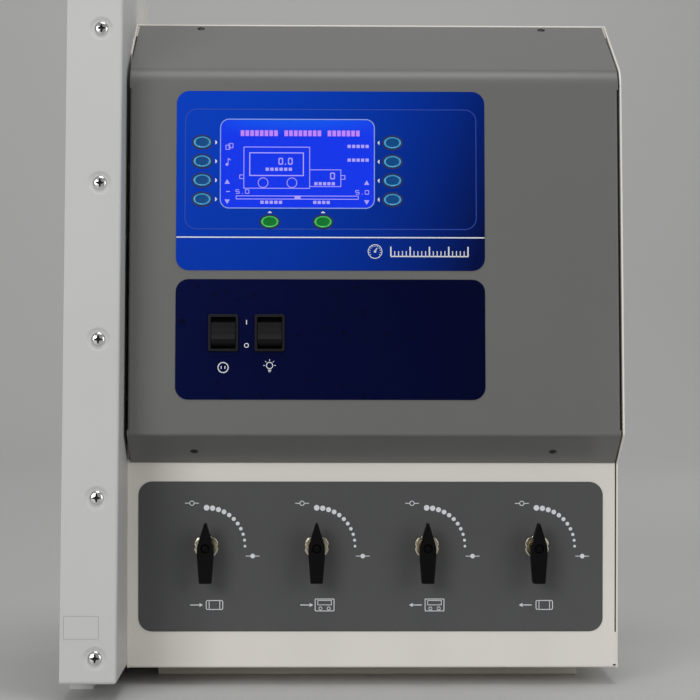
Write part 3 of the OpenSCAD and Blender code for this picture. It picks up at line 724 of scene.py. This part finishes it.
# Cross-recessed screws: the recess is a tapered cross, and the head an oval dome
def screwHead(radius, height, crossed):
    head = spun([
        (0, -0.6), (radius * 0.97, -0.6), (radius, 0, 0.1), (radius * 0.82, height * 0.62, radius * 0.5),
        (radius * 0.3, height * 0.98, radius * 0.3), (0, height),
    ], 40)
    width, reach = crossed
    end = width * 0.4  # half the width of an arm's end
    cross = [
        (reach, -end), (reach, end), (width, width), (end, reach), (-end, reach), (-width, width),
        (-reach, end), (-reach, -end), (-width, -width), (-end, -reach), (end, -reach), (width, -width),
    ]
    head = carve(head, outline(cross, height * 0.05, height + 1))
    head.normal_update()
    for face in head.faces:  # the recess takes the second finish, a dark grey that paints the shade in the cross
        middle = face.calc_center_median()
        sunk = abs(face.normal.z) < 0.3 or middle.z < height * 0.1
        face.material_index = 1 if sunk and middle.z > 0 and math.hypot(middle.x, middle.y) < reach else 0
    return head


coverScrews = {
    "across": 308.28, "roofIn": 8.0, "chinIn": 28.0,  # from the roof's end and from the face's lower edge
    "radius": 3.5, "height": 1.15, "recess": (0.34, 1.5),
}


def coverScrewPlaces():
    roofScrew = roofEnd - coverScrews["roofIn"] * roofAlong
    chinScrew = faceLow - coverScrews["chinIn"] * chinAlong
    places = []
    for side in (-1, 1):
        x = (coverLow.x + coverHigh.x + side * coverScrews["across"]) / 2
        places += [planeAt((x, *roofScrew), (0, *roofAlong)), planeAt((x, *chinScrew), (0, *chinAlong))]
    return places


makeCover()
heads = [
    (screwHead(coverScrews["radius"], coverScrews["height"], coverScrews["recess"]), place)
    for place in coverScrewPlaces()
]
finishPiece("coverScrews", joined(*heads), ["blackScrew", "recess"], stands=["cover_screws"])
print("cover made")

# Cabinet end: a tray with its open side to the left, dished screw seats in the front flange
tray = {
    "thick": 1.6,
    "bend": 3.0,
    "round": 0.25,
    "lean": 5.27,
    "screwPitch": 131.6,
    "screwIn": 18.0,       # from the web to the screws
    "screwSink": 1.25,
    "dish": [(0, -1.3), (7.3, -1.3, 1), (9.7, -0.12, 1.4), (11.2, 0.05, 1.4), (11.8, 3), (0, 3)],
    "screwRadius": 6.3,
    "screwHeight": 2.3,
    "screwRecess": (1.15, 3.6),
    "holes": [(24, 480), 3.3],
}


def flangeScrewPlaces():
    low, high = boxOf("cabinet_screws")
    panelLow, panelHigh = boxOf("cabinet_side_panel")
    up = Vector((0, *along(90 - tray["lean"])))
    foot = Vector((panelHigh.x - tray["screwIn"], panelLow.y, panelLow.z))
    first = (low.z + tray["screwRadius"] * up.z - foot.z ) / up.z
    return [planeAt(foot + up * (first + i * tray["screwPitch"]), up) for i in range(5)]


def makeTray():
    low, high = boxOf("cabinet_side_panel")
    back = math.tan(math.radians(tray["lean"])) * (high.z - low.z)
    bm = bmesh.new()
    corners = [(low.y, low.z), (low.y + back, high.z), (high.y, high.z), (high.y, low.z)]
    bm.faces.new([bm.verts.new((low.x, y, z)) for y, z in corners])
    lift(bm, bm.faces[:], (high.x - low.x, 0, 0))
    openSide = [face for face in bm.faces if face.calc_center_median().x < low.x + 0.1]
    bmesh.ops.delete(bm, geom=openSide, context="FACES_ONLY")
    bmesh.ops.recalc_face_normals(bm, faces=bm.faces)
    bent = [edge for edge in bm.edges if any(abs(vert.co.x - high.x) < 1e-3 for vert in edge.verts)]
    bmesh.ops.bevel(bm, geom=bent, offset=tray["bend"], segments=6, profile=0.5, affect="EDGES", material=-1)
    thicken(bm, tray["thick"], middleOf("cabinet_side_panel"))
    soften(bm, tray["round"], 60)
    dishes = [(spun(tray["dish"], 48), place) for place in flangeScrewPlaces()]
    bm = carve(bm, joined(*dishes))
    (dx, dz), radius = tray["holes"]
    middle = middleOf("cabinet_side_panel")
    drills = [
        (disc(radius, -30, 30), planeAt((middle.x + sx * dx / 2, high.y, 300 + sz * dz / 2), (0, 0, 1)))
        for sx in (-1, 1) for sz in (-1, 1)
    ]
    bm = carve(bm, joined(*drills))
    finishPiece("cabinetEnd", bm, "cabinetPaint", stands=["cabinet_side_panel"])


makeTray()
heads = [
    (screwHead(tray["screwRadius"], tray["screwHeight"], tray["screwRecess"]),
     place @ at(0, 0, -tray["screwSink"]))
    for place in flangeScrewPlaces()
]
finishPiece("cabinetScrews", joined(*heads),
            ["chrome", "recess"], stands=["cabinet_screws"])

label = {"width": 31.0, "height": 21.0, "x": -11.5, "up": 25.3, "thick": 0.12, "line": 0.35}
labelPlace = flangeScrewPlaces()[0] @ at(label["x"], label["up"])  # from the lowest screw
sticker = plate(label["width"], label["height"], 0, label["thick"], 1.2)
finishPiece("ratingPlate", soften(sticker, 0.04), "sticker",
            labelPlace)
edge = border(label["width"] - 2, label["height"] - 2, label["line"], 0.1, 0.16, 0.8)
finishPiece("ratingPlateBorder", edge, "stickerInk", labelPlace)
print("cabinet end made")

# Casing: lower front panel, side panels, top panel and plinth bar
lower = {
    "thick": 1.6,
    "bend": 2.0,
    "foldBack": 25.0,
    "slitFrom": 31.0,      # above the panel's bottom edge
    "slit": 1.2,
    "notch": (2.6, 3.0),
    "tab": 34.0,
    "neckHole": 7.8,
    "round": 0.2,
}


def makeLowerPanel():
    low, high = boxOf("lower_front_panel")
    front = middleOf("valve_overlay").y + filmThick / 2
    edgeHeight = coverLow.z + 0.92
    rise = cover["thick"] + 0.1
    pitch = math.radians(cover["chinPitch"])
    bend = edgeHeight + rise / math.cos(pitch) * (1 - math.sin(pitch)) + 0.4
    tabEnd = Vector((front, bend)) + lower["tab"] * chinAlong
    points = [
        (front + lower["foldBack"], low.z), (front, low.z, lower["bend"]), (front, low.z + lower["notch"][1]),
        (front, low.z + lower["slitFrom"]), (front, bend), tuple(tabEnd),
    ]
    xs = [low.x, low.x + lower["notch"][0], high.x - lower["notch"][0], high.x - lower["slit"], high.x]

    def gone(p):
        slit = p.x > xs[3] and p.z > low.z + lower["slitFrom"]
        notch = p.x > xs[2] and p.z < low.z + lower["notch"][1] and p.y < front + 4
        tab = (p.x < xs[1] or p.x > xs[2]) and p.z > bend
        return slit or notch or tab

    bm = folded(points, xs, gone)
    thicken(bm, lower["thick"], casingMiddle)
    soften(bm, lower["round"], 60)
    pivots = [pivotOf(f"valve_{i}_turn") for i in range(1, 5)]
    necks = [(disc(lower["neckHole"], -6, 6, 32), planeAt((p.x, front, p.z), (0, 0, 1))) for p in pivots]
    bm = carve(bm, joined(*necks))
    finishPiece("lowerPanel", bm, "casingPaint", stands=["lower_front_panel"])


makeLowerPanel()

sides = {"thick": 1.6, "lowBend": 4.0, "round": 0.45, "recess": 45.0, "proud": 0.3, "tabs": 14.0}


def makeSide(node, name, recess):
    low, high = boxOf(node)
    right = low.x > 0
    thick, tabs, proud = sides["thick"], sides["tabs"], sides["proud"]
    chinLow = faceLow - (cover["chin"] + 1.5) * chinAlong
    if recess > 0:  # the left one stands back from the face, and comes out along the roof
        rise = recess * roofAlong.y / roofAlong.x
        shoulder = (faceTop.x + recess, faceTop.y + rise, sides["lowBend"])
    else:
        shoulder = (faceTop.x + recess, faceTop.y, cover["bend"])
    corners = [
        (chinLow.x - proud, low.z), (chinLow.x - proud, chinLow.y),
        (faceLow.x + recess, faceLow.y, sides["lowBend"]), shoulder,
        (roofEnd.x, high.z), (high.y, high.z), (high.y, low.z),
    ]
    bm = outline(corners, 0, thick)
    upright = Matrix(((0, 0, 1, 0), (1, 0, 0, 0), (0, 1, 0, 0), (0, 0, 0, 1)))
    bm.transform(Matrix.Translation((high.x - thick if right else low.x, 0, 0)) @ upright)
    soften(bm, sides["round"], 60, 3)
    tab = plate(tabs + 0.4, high.z - low.z - 50, 0, thick)  # takes the rear panel's screws
    tabMiddle = high.x - thick - tabs / 2 + 0.1 if right else low.x + thick + tabs / 2 - 0.2
    tabPlace = planeAt((tabMiddle, high.y - thick - 0.1, (high.z + low.z) / 2), (0, 0, 1))
    bm = joined(bm, (soften(tab, 0.2), tabPlace))
    finishPiece(name, bm, "casingPaint", stands=[node])


makeSide("side_panel_left", "leftSide", sides["recess"])
makeSide("side_panel_right", "rightSide", -sides["proud"])


def makeTop():
    low, high = boxOf("top_panel")
    under = roofEnd + (cover["thick"] + 0.1) * Vector((roofAlong.y, -roofAlong.x))
    front = roofEnd.x + 1.2
    foot = under + roofAlong * (front - under.x) / roofAlong.x
    start = under - 24 * roofAlong  # the lip under the cover
    points = [tuple(start), tuple(foot), (front, high.z, 0.9), (high.y, high.z)]
    bm = folded(points, [low.x, high.x])
    thicken(bm, cover["thick"], casingMiddle)
    soften(bm, 0.25, 60)
    finishPiece("topPanel", bm, "casingPaint", stands=["top_panel"])


makeTop()

low, high = boxOf("plinth_front")
bar = plate(high.x - low.x, high.y - low.y, low.z, high.z)
soften(bar, 2.2, 60, 4, lambda edge: abs(edge.verts[0].co.x - edge.verts[1].co.x) > 1)
middle = (low + high) / 2
soften(bar, 0.3, 60)
finishPiece("plinthBar", bar, "plinthPaint", at(middle.x, middle.y), ["plinth_front"])
print("casing made")

# Keypad film with its holes, lines and marks
ink = (0.42, 0.55)         # from inside the film to just above it
keypad = {
    "corner": 11.0,
    "edge": 0.14,
    "windowLine": 0.85,
    "keyShade": 1.3,       # width of the painted shadow round each key
    "frame": (0.1, 9.9, 249.8, 104.2, 10.0, 0.7),  # middle, size, corner and line
    "ruleUp": -49.0,
    "rule": 1.0,
    "pointer": (1.7, 2.2),  # length and half height
    "pointerOut": 11.2,    # from a key's middle
    "pointerUp": 7.6,
}


def makeKeypadFilm():
    low, high = boxOf("keypad_overlay")
    height = (high - low).z / faceUp.z
    film = plate(high.x - low.x, height - 0.05, 0, filmThick, keypad["corner"])
    soften(film, keypad["edge"], 60, 2)
    holes = [(plate(window["width"], window["height"], -3, 3, window["corner"]),
              at(*onPlane(facePlane, middleOf("display_window"))))]
    film = carve(film, joined(*holes, *keyHoles()))
    finishPiece("keypadFilm", film, "blueFilm", facePlane, ["keypad_overlay"])
    x, y, width, tall, corner, line = keypad["frame"]
    edge = border(width, tall, line, *ink, corner)
    finishPiece("keypadFrameLine", edge, "frameInk", facePlane @ at(x, y))
    line = keypad["windowLine"]
    width, tall = window["width"] + 2 * line, window["height"] + 2 * line
    edge = border(width, tall, line, *ink, window["corner"] + line)
    finishPiece("windowLine", edge, "paleBlueInk", windowPlane)
    wide, tall = keyHole
    grown = Matrix.Diagonal((wide + 2 * keypad["keyShade"], tall + 2 * keypad["keyShade"], 1, 1))
    # a dark ring on the film round each key: painted shadow where the key stands out of the film
    shades = []
    for name in keys:
        shade = carve(joined((disc(0.5, *ink, 48), grown)), ellipseHole(wide + 0.1, tall + 0.1))
        shades.append((shade, at(*onPlane(facePlane, middleOf(name)))))
    finishPiece("keyShades", joined(*shades), "shadeInk", facePlane)


makeKeypadFilm()


def triangle(radius, low, high, turn=0):
    bm = bmesh.new()
    bmesh.ops.create_circle(bm, cap_ends=True, radius=radius, segments=3)
    bmesh.ops.translate(bm, vec=(0, 0, low), verts=bm.verts)
    lift(bm, bm.faces[:], (0, 0, high - low))
    bm.transform(Matrix.Rotation(math.radians(turn), 4, "Z"))
    return bm


def keypadMarks():
    marks = []
    windowX = onPlane(facePlane, middleOf("display_window"))[0]
    length, half = keypad["pointer"]
    for key in keys:
        x, y = onPlane(facePlane, middleOf(key))
        pointer = outline([(0, -half, 0.3), (length, 0, 0.2), (0, half, 0.3)], *ink)
        if keys[key] == "Green":
            marks.append((pointer, at(x, y + keypad["pointerUp"], 0, 90)))
        else:
            side = 1 if x < windowX else -1
            marks.append((pointer, at(x + side * keypad["pointerOut"], y, 0, 0 if side > 0 else 180)))
    half = boxOf("keypad_overlay")[1].x - middleOf("keypad_overlay").x - 0.4
    marks.append(stroke((-half, keypad["ruleUp"]), (half, keypad["ruleUp"]), keypad["rule"], *ink))
    return marks


# a pressure gauge sign and a plain scale under the rule
def gaugeSign(radius, line):
    dots = [(disc(line * 0.45, *ink), at(*(radius * along(k * 25 - 35)))) for k in range(11)]
    needle = stroke((0, 0), tuple(0.72 * radius * along(62)), line, *ink)
    return joined(ring(radius * 0.16, line * 0.6, *ink), needle, ring(radius * 1.28, line * 0.7, *ink), *dots)


def scaleSign(length, count, tall, line):
    ticks = []
    for k in range(count):
        x = -length / 2 + k * length / (count - 1)
        top = tall if k % 5 == 0 else tall * 0.55
        ticks.append(stroke((x, 0), (x, top), line * (1.5 if k % 5 == 0 else 1), *ink))
    ticks.append(stroke((-length / 2 - line / 2, 0), (length / 2 + line / 2, 0), line * 1.3, *ink))
    return joined(*ticks)


marks = keypadMarks()
marks.append((gaugeSign(4.6, 0.9), at(38, -61)))
marks.append((scaleSign(66, 21, 8.4, 0.75), at(84.5, -65.2)))
finishPiece("keypadMarks", joined(*marks), "whiteInk", facePlane)
print("keypad film made")

# Oval keys: a raised ridge round a dished face, with the retaining flange behind
key = {
    "width": 15.0,
    "height": 10.0,
    "profile": [  # share of the half width, height above the face
        (0, -2.9), (1.133, -2.9), (1.133, -1.9), (1, -1.9), (1, 0.7, 0.05), (0.94, 1.2, 0.04),
        (0.87, 1.3, 0.04), (0.77, 0.92, 0.05), (0.45, 0.8), (0.2, 0.84), (0, 0.86),
    ],
    "ridgeFrom": 0.79,
}


def makeKey(name, tint):
    bm = spun(key["profile"], 48)
    # the ridge takes a lighter copy of the key colour, a painted highlight; the dished face takes the key's
    # own colour
    for face in bm.faces:
        middle = face.calc_center_median()
        face.material_index = 0 if math.hypot(middle.x, middle.y) > key["ridgeFrom"] else 1
    bmesh.ops.scale(bm, vec=(key["width"] / 2, key["height"] / 2, 1), verts=bm.verts)
    x, y = onPlane(facePlane, middleOf(name))
    finishPiece(name.replace("_k", "K").replace("y_", "y"), bm,
                ["keyRim" + tint, "key" + tint], facePlane @ at(x, y), [name], name + "_cap", 50)


for name, tint in keys.items():
    makeKey(name, tint)
print("keys made")

# Display: clear pane, lit screen and what it shows
screen = {"pane": (-0.4, -0.08), "glass": (-1.5, -0.95), "line": 0.62}
lit = (-1.0, -0.88)        # what the display shows, on its glass


def makeDisplay():
    width, height, corner = window["width"] + 3.4, window["height"] + 3.4, window["corner"] + 1
    pane = soften(plate(width, height, *screen["pane"], corner), 0.05)
    finishPiece("displayPane", pane, "pane", windowPlane, ["display_window"])
    glass = soften(plate(width, height, *screen["glass"], corner), 0.1)
    finishPiece("displayScreen", glass, "screen", windowPlane)


makeDisplay()


def screenBox(x0, y0, x1, y1, line):
    return (border(x1 - x0, y1 - y0, line, *lit), at((x0 + x1) / 2, (y0 + y1) / 2))


def blocks(x0, x1, y, count, tall, gap=0.28):
    # a row of small blocks: a line on the display that says nothing
    pitch = (x1 - x0) / count
    return [
        (plate(pitch * (1 - gap), tall, *lit), at(x0 + (k + 0.5) * pitch, y)) for k in range(count)
    ]


def segments(x, y, wide, tall, line, shown):
    # one seven-segment figure, with a small gap between its strokes
    gap = 0.1
    top, middle, low = y + tall / 2, y, y - tall / 2
    left, right = x - wide / 2, x + wide / 2
    level = {"a": top, "g": middle, "d": low}
    upright = {
        "f": (left, middle, top), "b": (right, middle, top),
        "e": (left, low, middle), "c": (right, low, middle),
    }
    places = {name: ((left + gap, up), (right - gap, up)) for name, up in level.items()}
    places.update({name: ((u, a + gap), (u, b - gap)) for name, (u, a, b) in upright.items()})
    return [stroke(*places[name], line, *lit) for name in shown]


figures = {"0": "abcdef", "5": "afgcd"}


def shownFigures(text, x, y, wide, tall, line):
    parts = []
    for k, sign in enumerate(text):
        if sign == ".":
            parts.append((disc(line * 0.6, *lit, 8), at(x + k * wide, y - tall / 2)))
        else:
            parts += segments(x + k * wide, y, wide * 0.75, tall, line, figures[sign])
    return parts


def screenPicture():
    line = screen["line"]
    parts = [
        # the cabinet with its window and ports
        screenBox(-46.2, -21.4, 10.8, 14.9, line), screenBox(-41.3, -10.5, 5.5, 10, line * 1.4),
        (ring(4.2, line, *lit), at(-29.4, -16.3)), (ring(4.2, line, *lit), at(-4.7, -16.3)),
        # its small chamber and door handles, and the bar under it
        screenBox(10.2, -19.8, 37.5, -4.7, line), screenBox(-49.7, -13.1, -45.6, -9.3, line),
        screenBox(36.9, -13.4, 41.0, -9.6, line), screenBox(-52.7, -30.7, 52.5, -27.4, line),
        (plate(5.2, 2.0, *lit), at(0.2, -29.05)),
        # arrows at both sides
        (triangle(2.6, *lit), at(-60.1, -16.0)), (triangle(2.6, *lit, 180), at(-60.1, -32.2)),
        (triangle(2.6, *lit), at(59.4, -16.6)), (triangle(2.6, *lit, 180), at(59.4, -32.5)),
        (plate(3.4, 0.7, *lit), at(-59.4, -24)),
        # two small signs at the upper left
        screenBox(-61.6, 12.2, -57.6, 16.4, 0.6), screenBox(-59.0, 13.6, -55.0, 17.8, 0.6),
        (disc(1.2, *lit, 12), at(-60.4, -0.6)), stroke((-59.4, -0.6), (-59.4, 4.6), 0.6, *lit),
        stroke((-59.4, 4.6), (-57.2, 3.2), 0.7, *lit),
    ]
    parts += shownFigures("0.0", -14.3, 2.3, 4.1, 5.0, 1.0)
    parts += shownFigures("0", 30.1, -10.3, 4.3, 5.0, 1.0)
    parts += shownFigures("5.0", -51.2, -24, 4.1, 3.2, 0.62)
    parts += shownFigures("5.0", 51.4, -24.4, 4.1, 3.2, 0.62)
    for x0, x1, y, count in ((-27.8, -4.1, -4.6, 6), (14.0, 32.6, -17.0, 5), (42.4, 61.7, 15.4, 5),
                             (42.4, 61.7, 3.5, 5), (-32.2, -12.5, -33.2, 5), (13.0, 28.3, -33.2, 4)):
        parts += blocks(x0, x1, y, count, 2.7)
    return joined(*parts)


def screenTitle():
    parts = []
    for x0, x1, count in ((-49.2, -16.4, 8), (-11.7, 20.8, 8), (25.4, 53.8, 7)):
        parts += blocks(x0, x1, 26.6, count, 5.0, 0.24)
    return joined(*parts)


finishPiece("displayPicture", screenPicture(), "screenInk", windowPlane)
finishPiece("displayTitle", screenTitle(), "titleInk", windowPlane)
for slot in frame["nodes"]["lcd_module"].material_slots:
    slot.material = finishes["solenoidBlack"]
print("display made")

# Switch film and rocker switches
switch = {
    "width": 25.6, "height": 31.6, "wall": 2.2, "front": 2.7, "behind": -24.0, "cavity": -13.0,
    "corner": 1.4, "round": 0.55, "swing": 21.0, "rockerWide": 20.6,
    "rocker": [(-7.2, 8.6, 0.5), (0, 6.9, 14), (7.2, 8.6, 0.5), (12.1, 2.4, 1.2), (8, -4), (3, -6), (-3, -6),
               (-8, -4), (-12.1, 2.4, 1.2)],
}


def makeSwitchFilm():
    low, high = boxOf("switch_overlay")
    height = (high - low).z / faceUp.z
    film = plate(high.x - low.x, height - 0.05, 0, filmThick, keypad["corner"])
    soften(film, keypad["edge"], 60, 2)
    film = carve(film, joined(*switchHoles()))
    finishPiece("switchFilm", film, "navyFilm", switchPlane, ["switch_overlay"])


def makeSwitch(name):
    pivot = pivotOf(f"{name}_switch_rock")
    x, y = onPlane(switchPlane, pivot)
    place = switchPlane @ at(x, y)
    wide, tall, wall = switch["width"], switch["height"], switch["wall"]
    bezel = plate(wide, tall, filmThick, switch["front"], switch["corner"])
    front = switch["front"] - 0.01
    soften(bezel, switch["round"], 60, 3, lambda edge: all(vert.co.z > front for vert in edge.verts))
    case = plate(wide - 1.6, tall - 2, switch["behind"], filmThick + 0.3, 0.6)
    bm = carve(bezel, case, "UNION")
    mouth = plate(wide - 2 * wall, tall - 2 * wall, switch["cavity"], 9, 0.9)
    bm = carve(bm, mouth)
    blades = [(plate(6, 0.8, switch["behind"] - 8, switch["behind"] + 0.5), at(0, v)) for v in (-8, 0, 8)]
    bm = joined(bm, *blades)
    finishPiece(name + "SwitchCase", bm, "switchBlack", place, [f"{name}_switch_housing"])
    rocker = outline([(-v, w, *r) for v, w, *r in switch["rocker"]][::-1], 0, switch["rockerWide"])
    soften(rocker, 0.5, 60, 3, lambda edge: all(v.co.z > 0.01 for v in edge.verts)
           or all(v.co.z < switch["rockerWide"] - 0.01 for v in edge.verts))
    sideways = Matrix(((0, 0, 1, 0), (-1, 0, 0, 0), (0, 1, 0, 0), (0, 0, 0, 1)))
    rocker.transform(Matrix.Translation((-switch["rockerWide"] / 2, 0, 0)) @ sideways)
    tilt = Matrix.Rotation(math.radians(-switch["swing"] / 2), 4, "X")
    depth = (switchPlane.inverted() @ pivot).z
    finishPiece(name + "Rocker", rocker, "rockerBlack",
                place @ Matrix.Translation((0, 0, depth)) @ tilt, [f"{name}_rocker"], f"{name}_switch")


makeSwitchFilm()
for name in ("outlet", "light"):
    makeSwitch(name)


def switchMarks():
    (ax, ay), (bx, _) = (onPlane(switchPlane, pivotOf(f"{name}_switch_rock")) for name in ("outlet", "light"))
    middle = (ax + bx) / 2
    marks = [
        # on and off
        stroke((middle, ay + 7.4), (middle, ay + 11.2), 0.75, *ink),
        (ring(1.7, 0.65, *ink), at(middle, ay - 10.5)),
        # an outlet and a bulb
        (ring(4.3, 0.8, *ink), at(ax, ay - 29.4)),
        stroke((ax - 1.6, ay - 30.6), (ax - 1.6, ay - 28.2), 0.8, *ink),
        stroke((ax + 1.6, ay - 30.6), (ax + 1.6, ay - 28.2), 0.8, *ink),
        (ring(2.7, 0.7, *ink), at(bx, ay - 27.6)),
        stroke((bx - 1.3, ay - 31.6), (bx + 1.3, ay - 31.6), 0.7, *ink),
        stroke((bx - 0.9, ay - 32.9), (bx + 0.9, ay - 32.9), 0.6, *ink),
    ]
    for k in range(5):
        a, b = 3.9 * along(k * 45), 5.3 * along(k * 45)
        marks.append(stroke((bx + a.x, ay - 27.6 + a.y), (bx + b.x, ay - 27.6 + b.y), 0.55, *ink))
    return joined(*marks)


finishPiece("switchMarks", switchMarks(), "whiteInk", switchPlane)
print("switches made")

# Valve film, panel nuts, handles and their scales
valve = {
    "filmCorner": 12.0,
    "neck": 15.6,
    "nutRadius": 10.8, "nutThick": 5.5, "notches": 6, "notchDeep": 1.1, "neckRadius": 7.45,
    "tip": 21.5, "tail": 30.0, "hub": 14.3, "tailWide": 10.6,
    "front": 27.0, "barBack": 16.0, "hubBack": 9.0,
    "scaleRadius": 33.3, "dots": 11, "firstDot": 2.45, "lastDot": 1.15,
    "openAt": (-12.7, 37.2), "shutAt": (40.0, -8.6), "signAt": (7.0, -51.0), "arrowAt": (-9.0, -51.0),
}


def valvePlace(number):
    return panelPlane @ at(*onPlane(panelPlane, pivotOf(f"valve_{number}_turn")))


def makeValveFilm():
    low, high = boxOf("valve_overlay")
    film = plate(high.x - low.x, high.z - low.z, 0, filmThick, valve["filmCorner"])
    soften(film, keypad["edge"], 60, 2)
    pivots = [pivotOf(f"valve_{i}_turn") for i in range(1, 5)]
    necks = [(disc(valve["neck"] / 2, -3, 3, 40), at(*onPlane(panelPlane, pivot))) for pivot in pivots]
    film = carve(film, joined(*necks))
    finishPiece("valveFilm", film, "greyFilm", panelPlane, ["valve_overlay"])


makeValveFilm()


def makeNut():
    r, t = valve["nutRadius"], valve["nutThick"]
    inner = valve["neckRadius"]
    bm = spun([(inner, 0), (r, 0, 0.2), (r, t - 0.3, 0.6), (r - 1.6, t, 0.5), (inner, t), (inner, 0)], 72)
    for vert in bm.verts:  # six shallow hollows round the rim
        radius = math.hypot(vert.co.x, vert.co.y)
        if radius > r - 2:
            hollow = max(0.0, math.cos(valve["notches"] * math.atan2(vert.co.y, vert.co.x))) ** 3
            scale = 1 - valve["notchDeep"] * hollow / radius
            vert.co.x *= scale
            vert.co.y *= scale
    return bm


nuts = [(makeNut(), valvePlace(i) @ at(0, 0, filmThick)) for i in range(1, 5)]
finishPiece("panelNuts", joined(*nuts), "nickel", stands=["valve_panel_nuts"], smooth=40)


def makeHandle(number):
    hub, tail, front = valve["hub"] / 2, valve["tailWide"] / 2, valve["front"]
    bar = outline(
        [(-0.9, valve["tip"], 0.5), (-hub + 0.15, 1.5, 9), (-hub, -5, 6), (-tail, -valve["tail"], 1.0),
         (tail, -valve["tail"], 1.0), (hub, -5, 6), (hub - 0.15, 1.5, 9), (0.9, valve["tip"], 0.5)],
        valve["barBack"], front,
    )
    soften(bar, 0.7, 60, 3)
    core = spun([(0, valve["hubBack"]), (hub - 0.1, valve["hubBack"], 0.6), (hub - 0.1, front - 1),
                 (0, front - 1)], 48)
    bm = carve(bar, core, "UNION")
    dish = spun([(0, front - 2.1), (3.0, front - 2.1, 0.6), (4.1, front + 0.2), (4.1, front + 2),
                 (0, front + 2)], 40)
    bm = carve(bm, dish)
    boss = spun([(0, front - 2.6), (1.9, front - 2.6), (1.9, front - 1.1, 0.3), (1.2, front - 0.95),
                 (0.9, front - 1.3), (0, front - 1.4)], 32)
    finishPiece(f"handle{number}", joined(bm, boss), "handleBlack",
                valvePlace(number), [f"valve_handle_{number}"], f"valve_{number}")


for number in range(1, 5):
    makeHandle(number)


def lineSign(middle, gap):  # open or closed: a line with a ring or a disc in it
    return joined(middle, stroke((-6, 0), (-gap, 0), 0.6, *ink), stroke((gap, 0), (6, 0), 0.6, *ink))


def arrow(length, line):
    return joined(stroke((-length / 2, 0), (length / 2 - 1.6, 0), line, *ink),
                  (triangle(2.0, *ink, -90), at(length / 2 - 1.0, 0)))


def chamberSign():  # the small chamber: a round drum between two doors
    doors = [stroke((x, -4.0), (x, 4.0), 0.6, *ink) for x in (-4.6, 4.6)]
    return joined(border(15, 8.4, 0.65, *ink, 1.6), *doors)


def boxSign():  # the glove box: a cabinet with a window and two ports
    ports = [(ring(1.35, 0.55, *ink, 24), at(x, -3.0)) for x in (-3.6, 3.6)]
    return joined(border(17, 11, 0.65, *ink, 0.8), (border(12.4, 4.4, 0.55, *ink, 0.4), at(0, 2.0)), *ports)


def valveMarks(number):
    marks = []
    for k in range(valve["dots"]):
        share = k / (valve["dots"] - 1)
        radius = valve["firstDot"] + share * (valve["lastDot"] - valve["firstDot"])
        marks.append((disc(radius, *ink, 20), at(*(valve["scaleRadius"] * along(90 - 90 * share)))))
    marks.append((lineSign(ring(1.9, 0.6, *ink), 2.1), at(*valve["openAt"])))
    marks.append((lineSign(disc(2.0, *ink), 1.9), at(*valve["shutAt"])))
    inward, small = number <= 2, number in (1, 4)
    marks.append((chamberSign() if small else boxSign(), at(*valve["signAt"])))
    marks.append((arrow(10, 0.8), at(*valve["arrowAt"], 0, 0 if inward else 180)))
    return joined(*marks)


for number in range(1, 5):
    finishPiece(f"valveMarks{number}", valveMarks(number), "whiteInk",
                valvePlace(number))
print("valves made")

# Floor, light and camera
camera = {"place": (-29.7, -1992.7, 291.5), "turn": -0.993, "tilt": -0.026, "roll": 0.105, "lens": 112.65}
lens = bpy.data.cameras.new("camera")
lens.lens = camera["lens"]
viewer = bpy.data.objects.new("camera", lens)
viewer.matrix_world = (
    Matrix.Translation(Vector(camera["place"]) / 1000)
    @ Matrix.Rotation(math.radians(camera["turn"]), 4, "Z")
    @ Matrix.Rotation(math.radians(90 + camera["tilt"]), 4, "X")
    @ Matrix.Rotation(math.radians(camera["roll"]), 4, "Z")
)
scene.collection.objects.link(viewer)
scene.camera = viewer

floorMesh = bpy.data.meshes.new("floor")
ground = folded([(-9, 0), (6.5, 0, 3.0), (6.5, 7)], [-9, 9])
ground.to_mesh(floorMesh)
floorMesh.shade_smooth()
ground.free()
floor = bpy.data.objects.new("floor", floorMesh)
floorMesh.materials.append(material("floor", printed, colour(200, 200, 198)))
scene.collection.objects.link(floor)

lights = {  # place, aim, size and watts
    "key": ((-1.9, -3.6, 1.6), (0, 0, 0.3), 1.8, 51),
    "fill": ((2.6, -3.0, 1.3), (0, 0, 0.3), 2.0, 31),
    "top": ((0.1, -0.7, 3.0), (0, -0.05, 0.4), 1.2, 26),
    "back": ((3.0, 2.6, 1.4), (0, 0, 0.3), 2.0, 22),
    "wall": ((0, 3.2, 4.6), (0, 6.6, 1.2), 3.0, 62),
}
for name, (place, aim, size, watts) in lights.items():
    lamp = bpy.data.lights.new(name, "AREA")
    lamp.size = size
    lamp.energy = watts
    holder = bpy.data.objects.new(name, lamp)
    holder.location = place
    holder.rotation_euler = (Vector(aim) - Vector(place)).to_track_quat("-Z", "Y").to_euler()
    scene.collection.objects.link(holder)

scene.world = bpy.data.worlds.new("studio")
scene.world.use_nodes = True
sky = scene.world.node_tree.nodes["Background"]
sky.inputs["Color"].default_value = (0.86, 0.88, 0.9, 1)
sky.inputs["Strength"].default_value = 0.27
print("stage made")
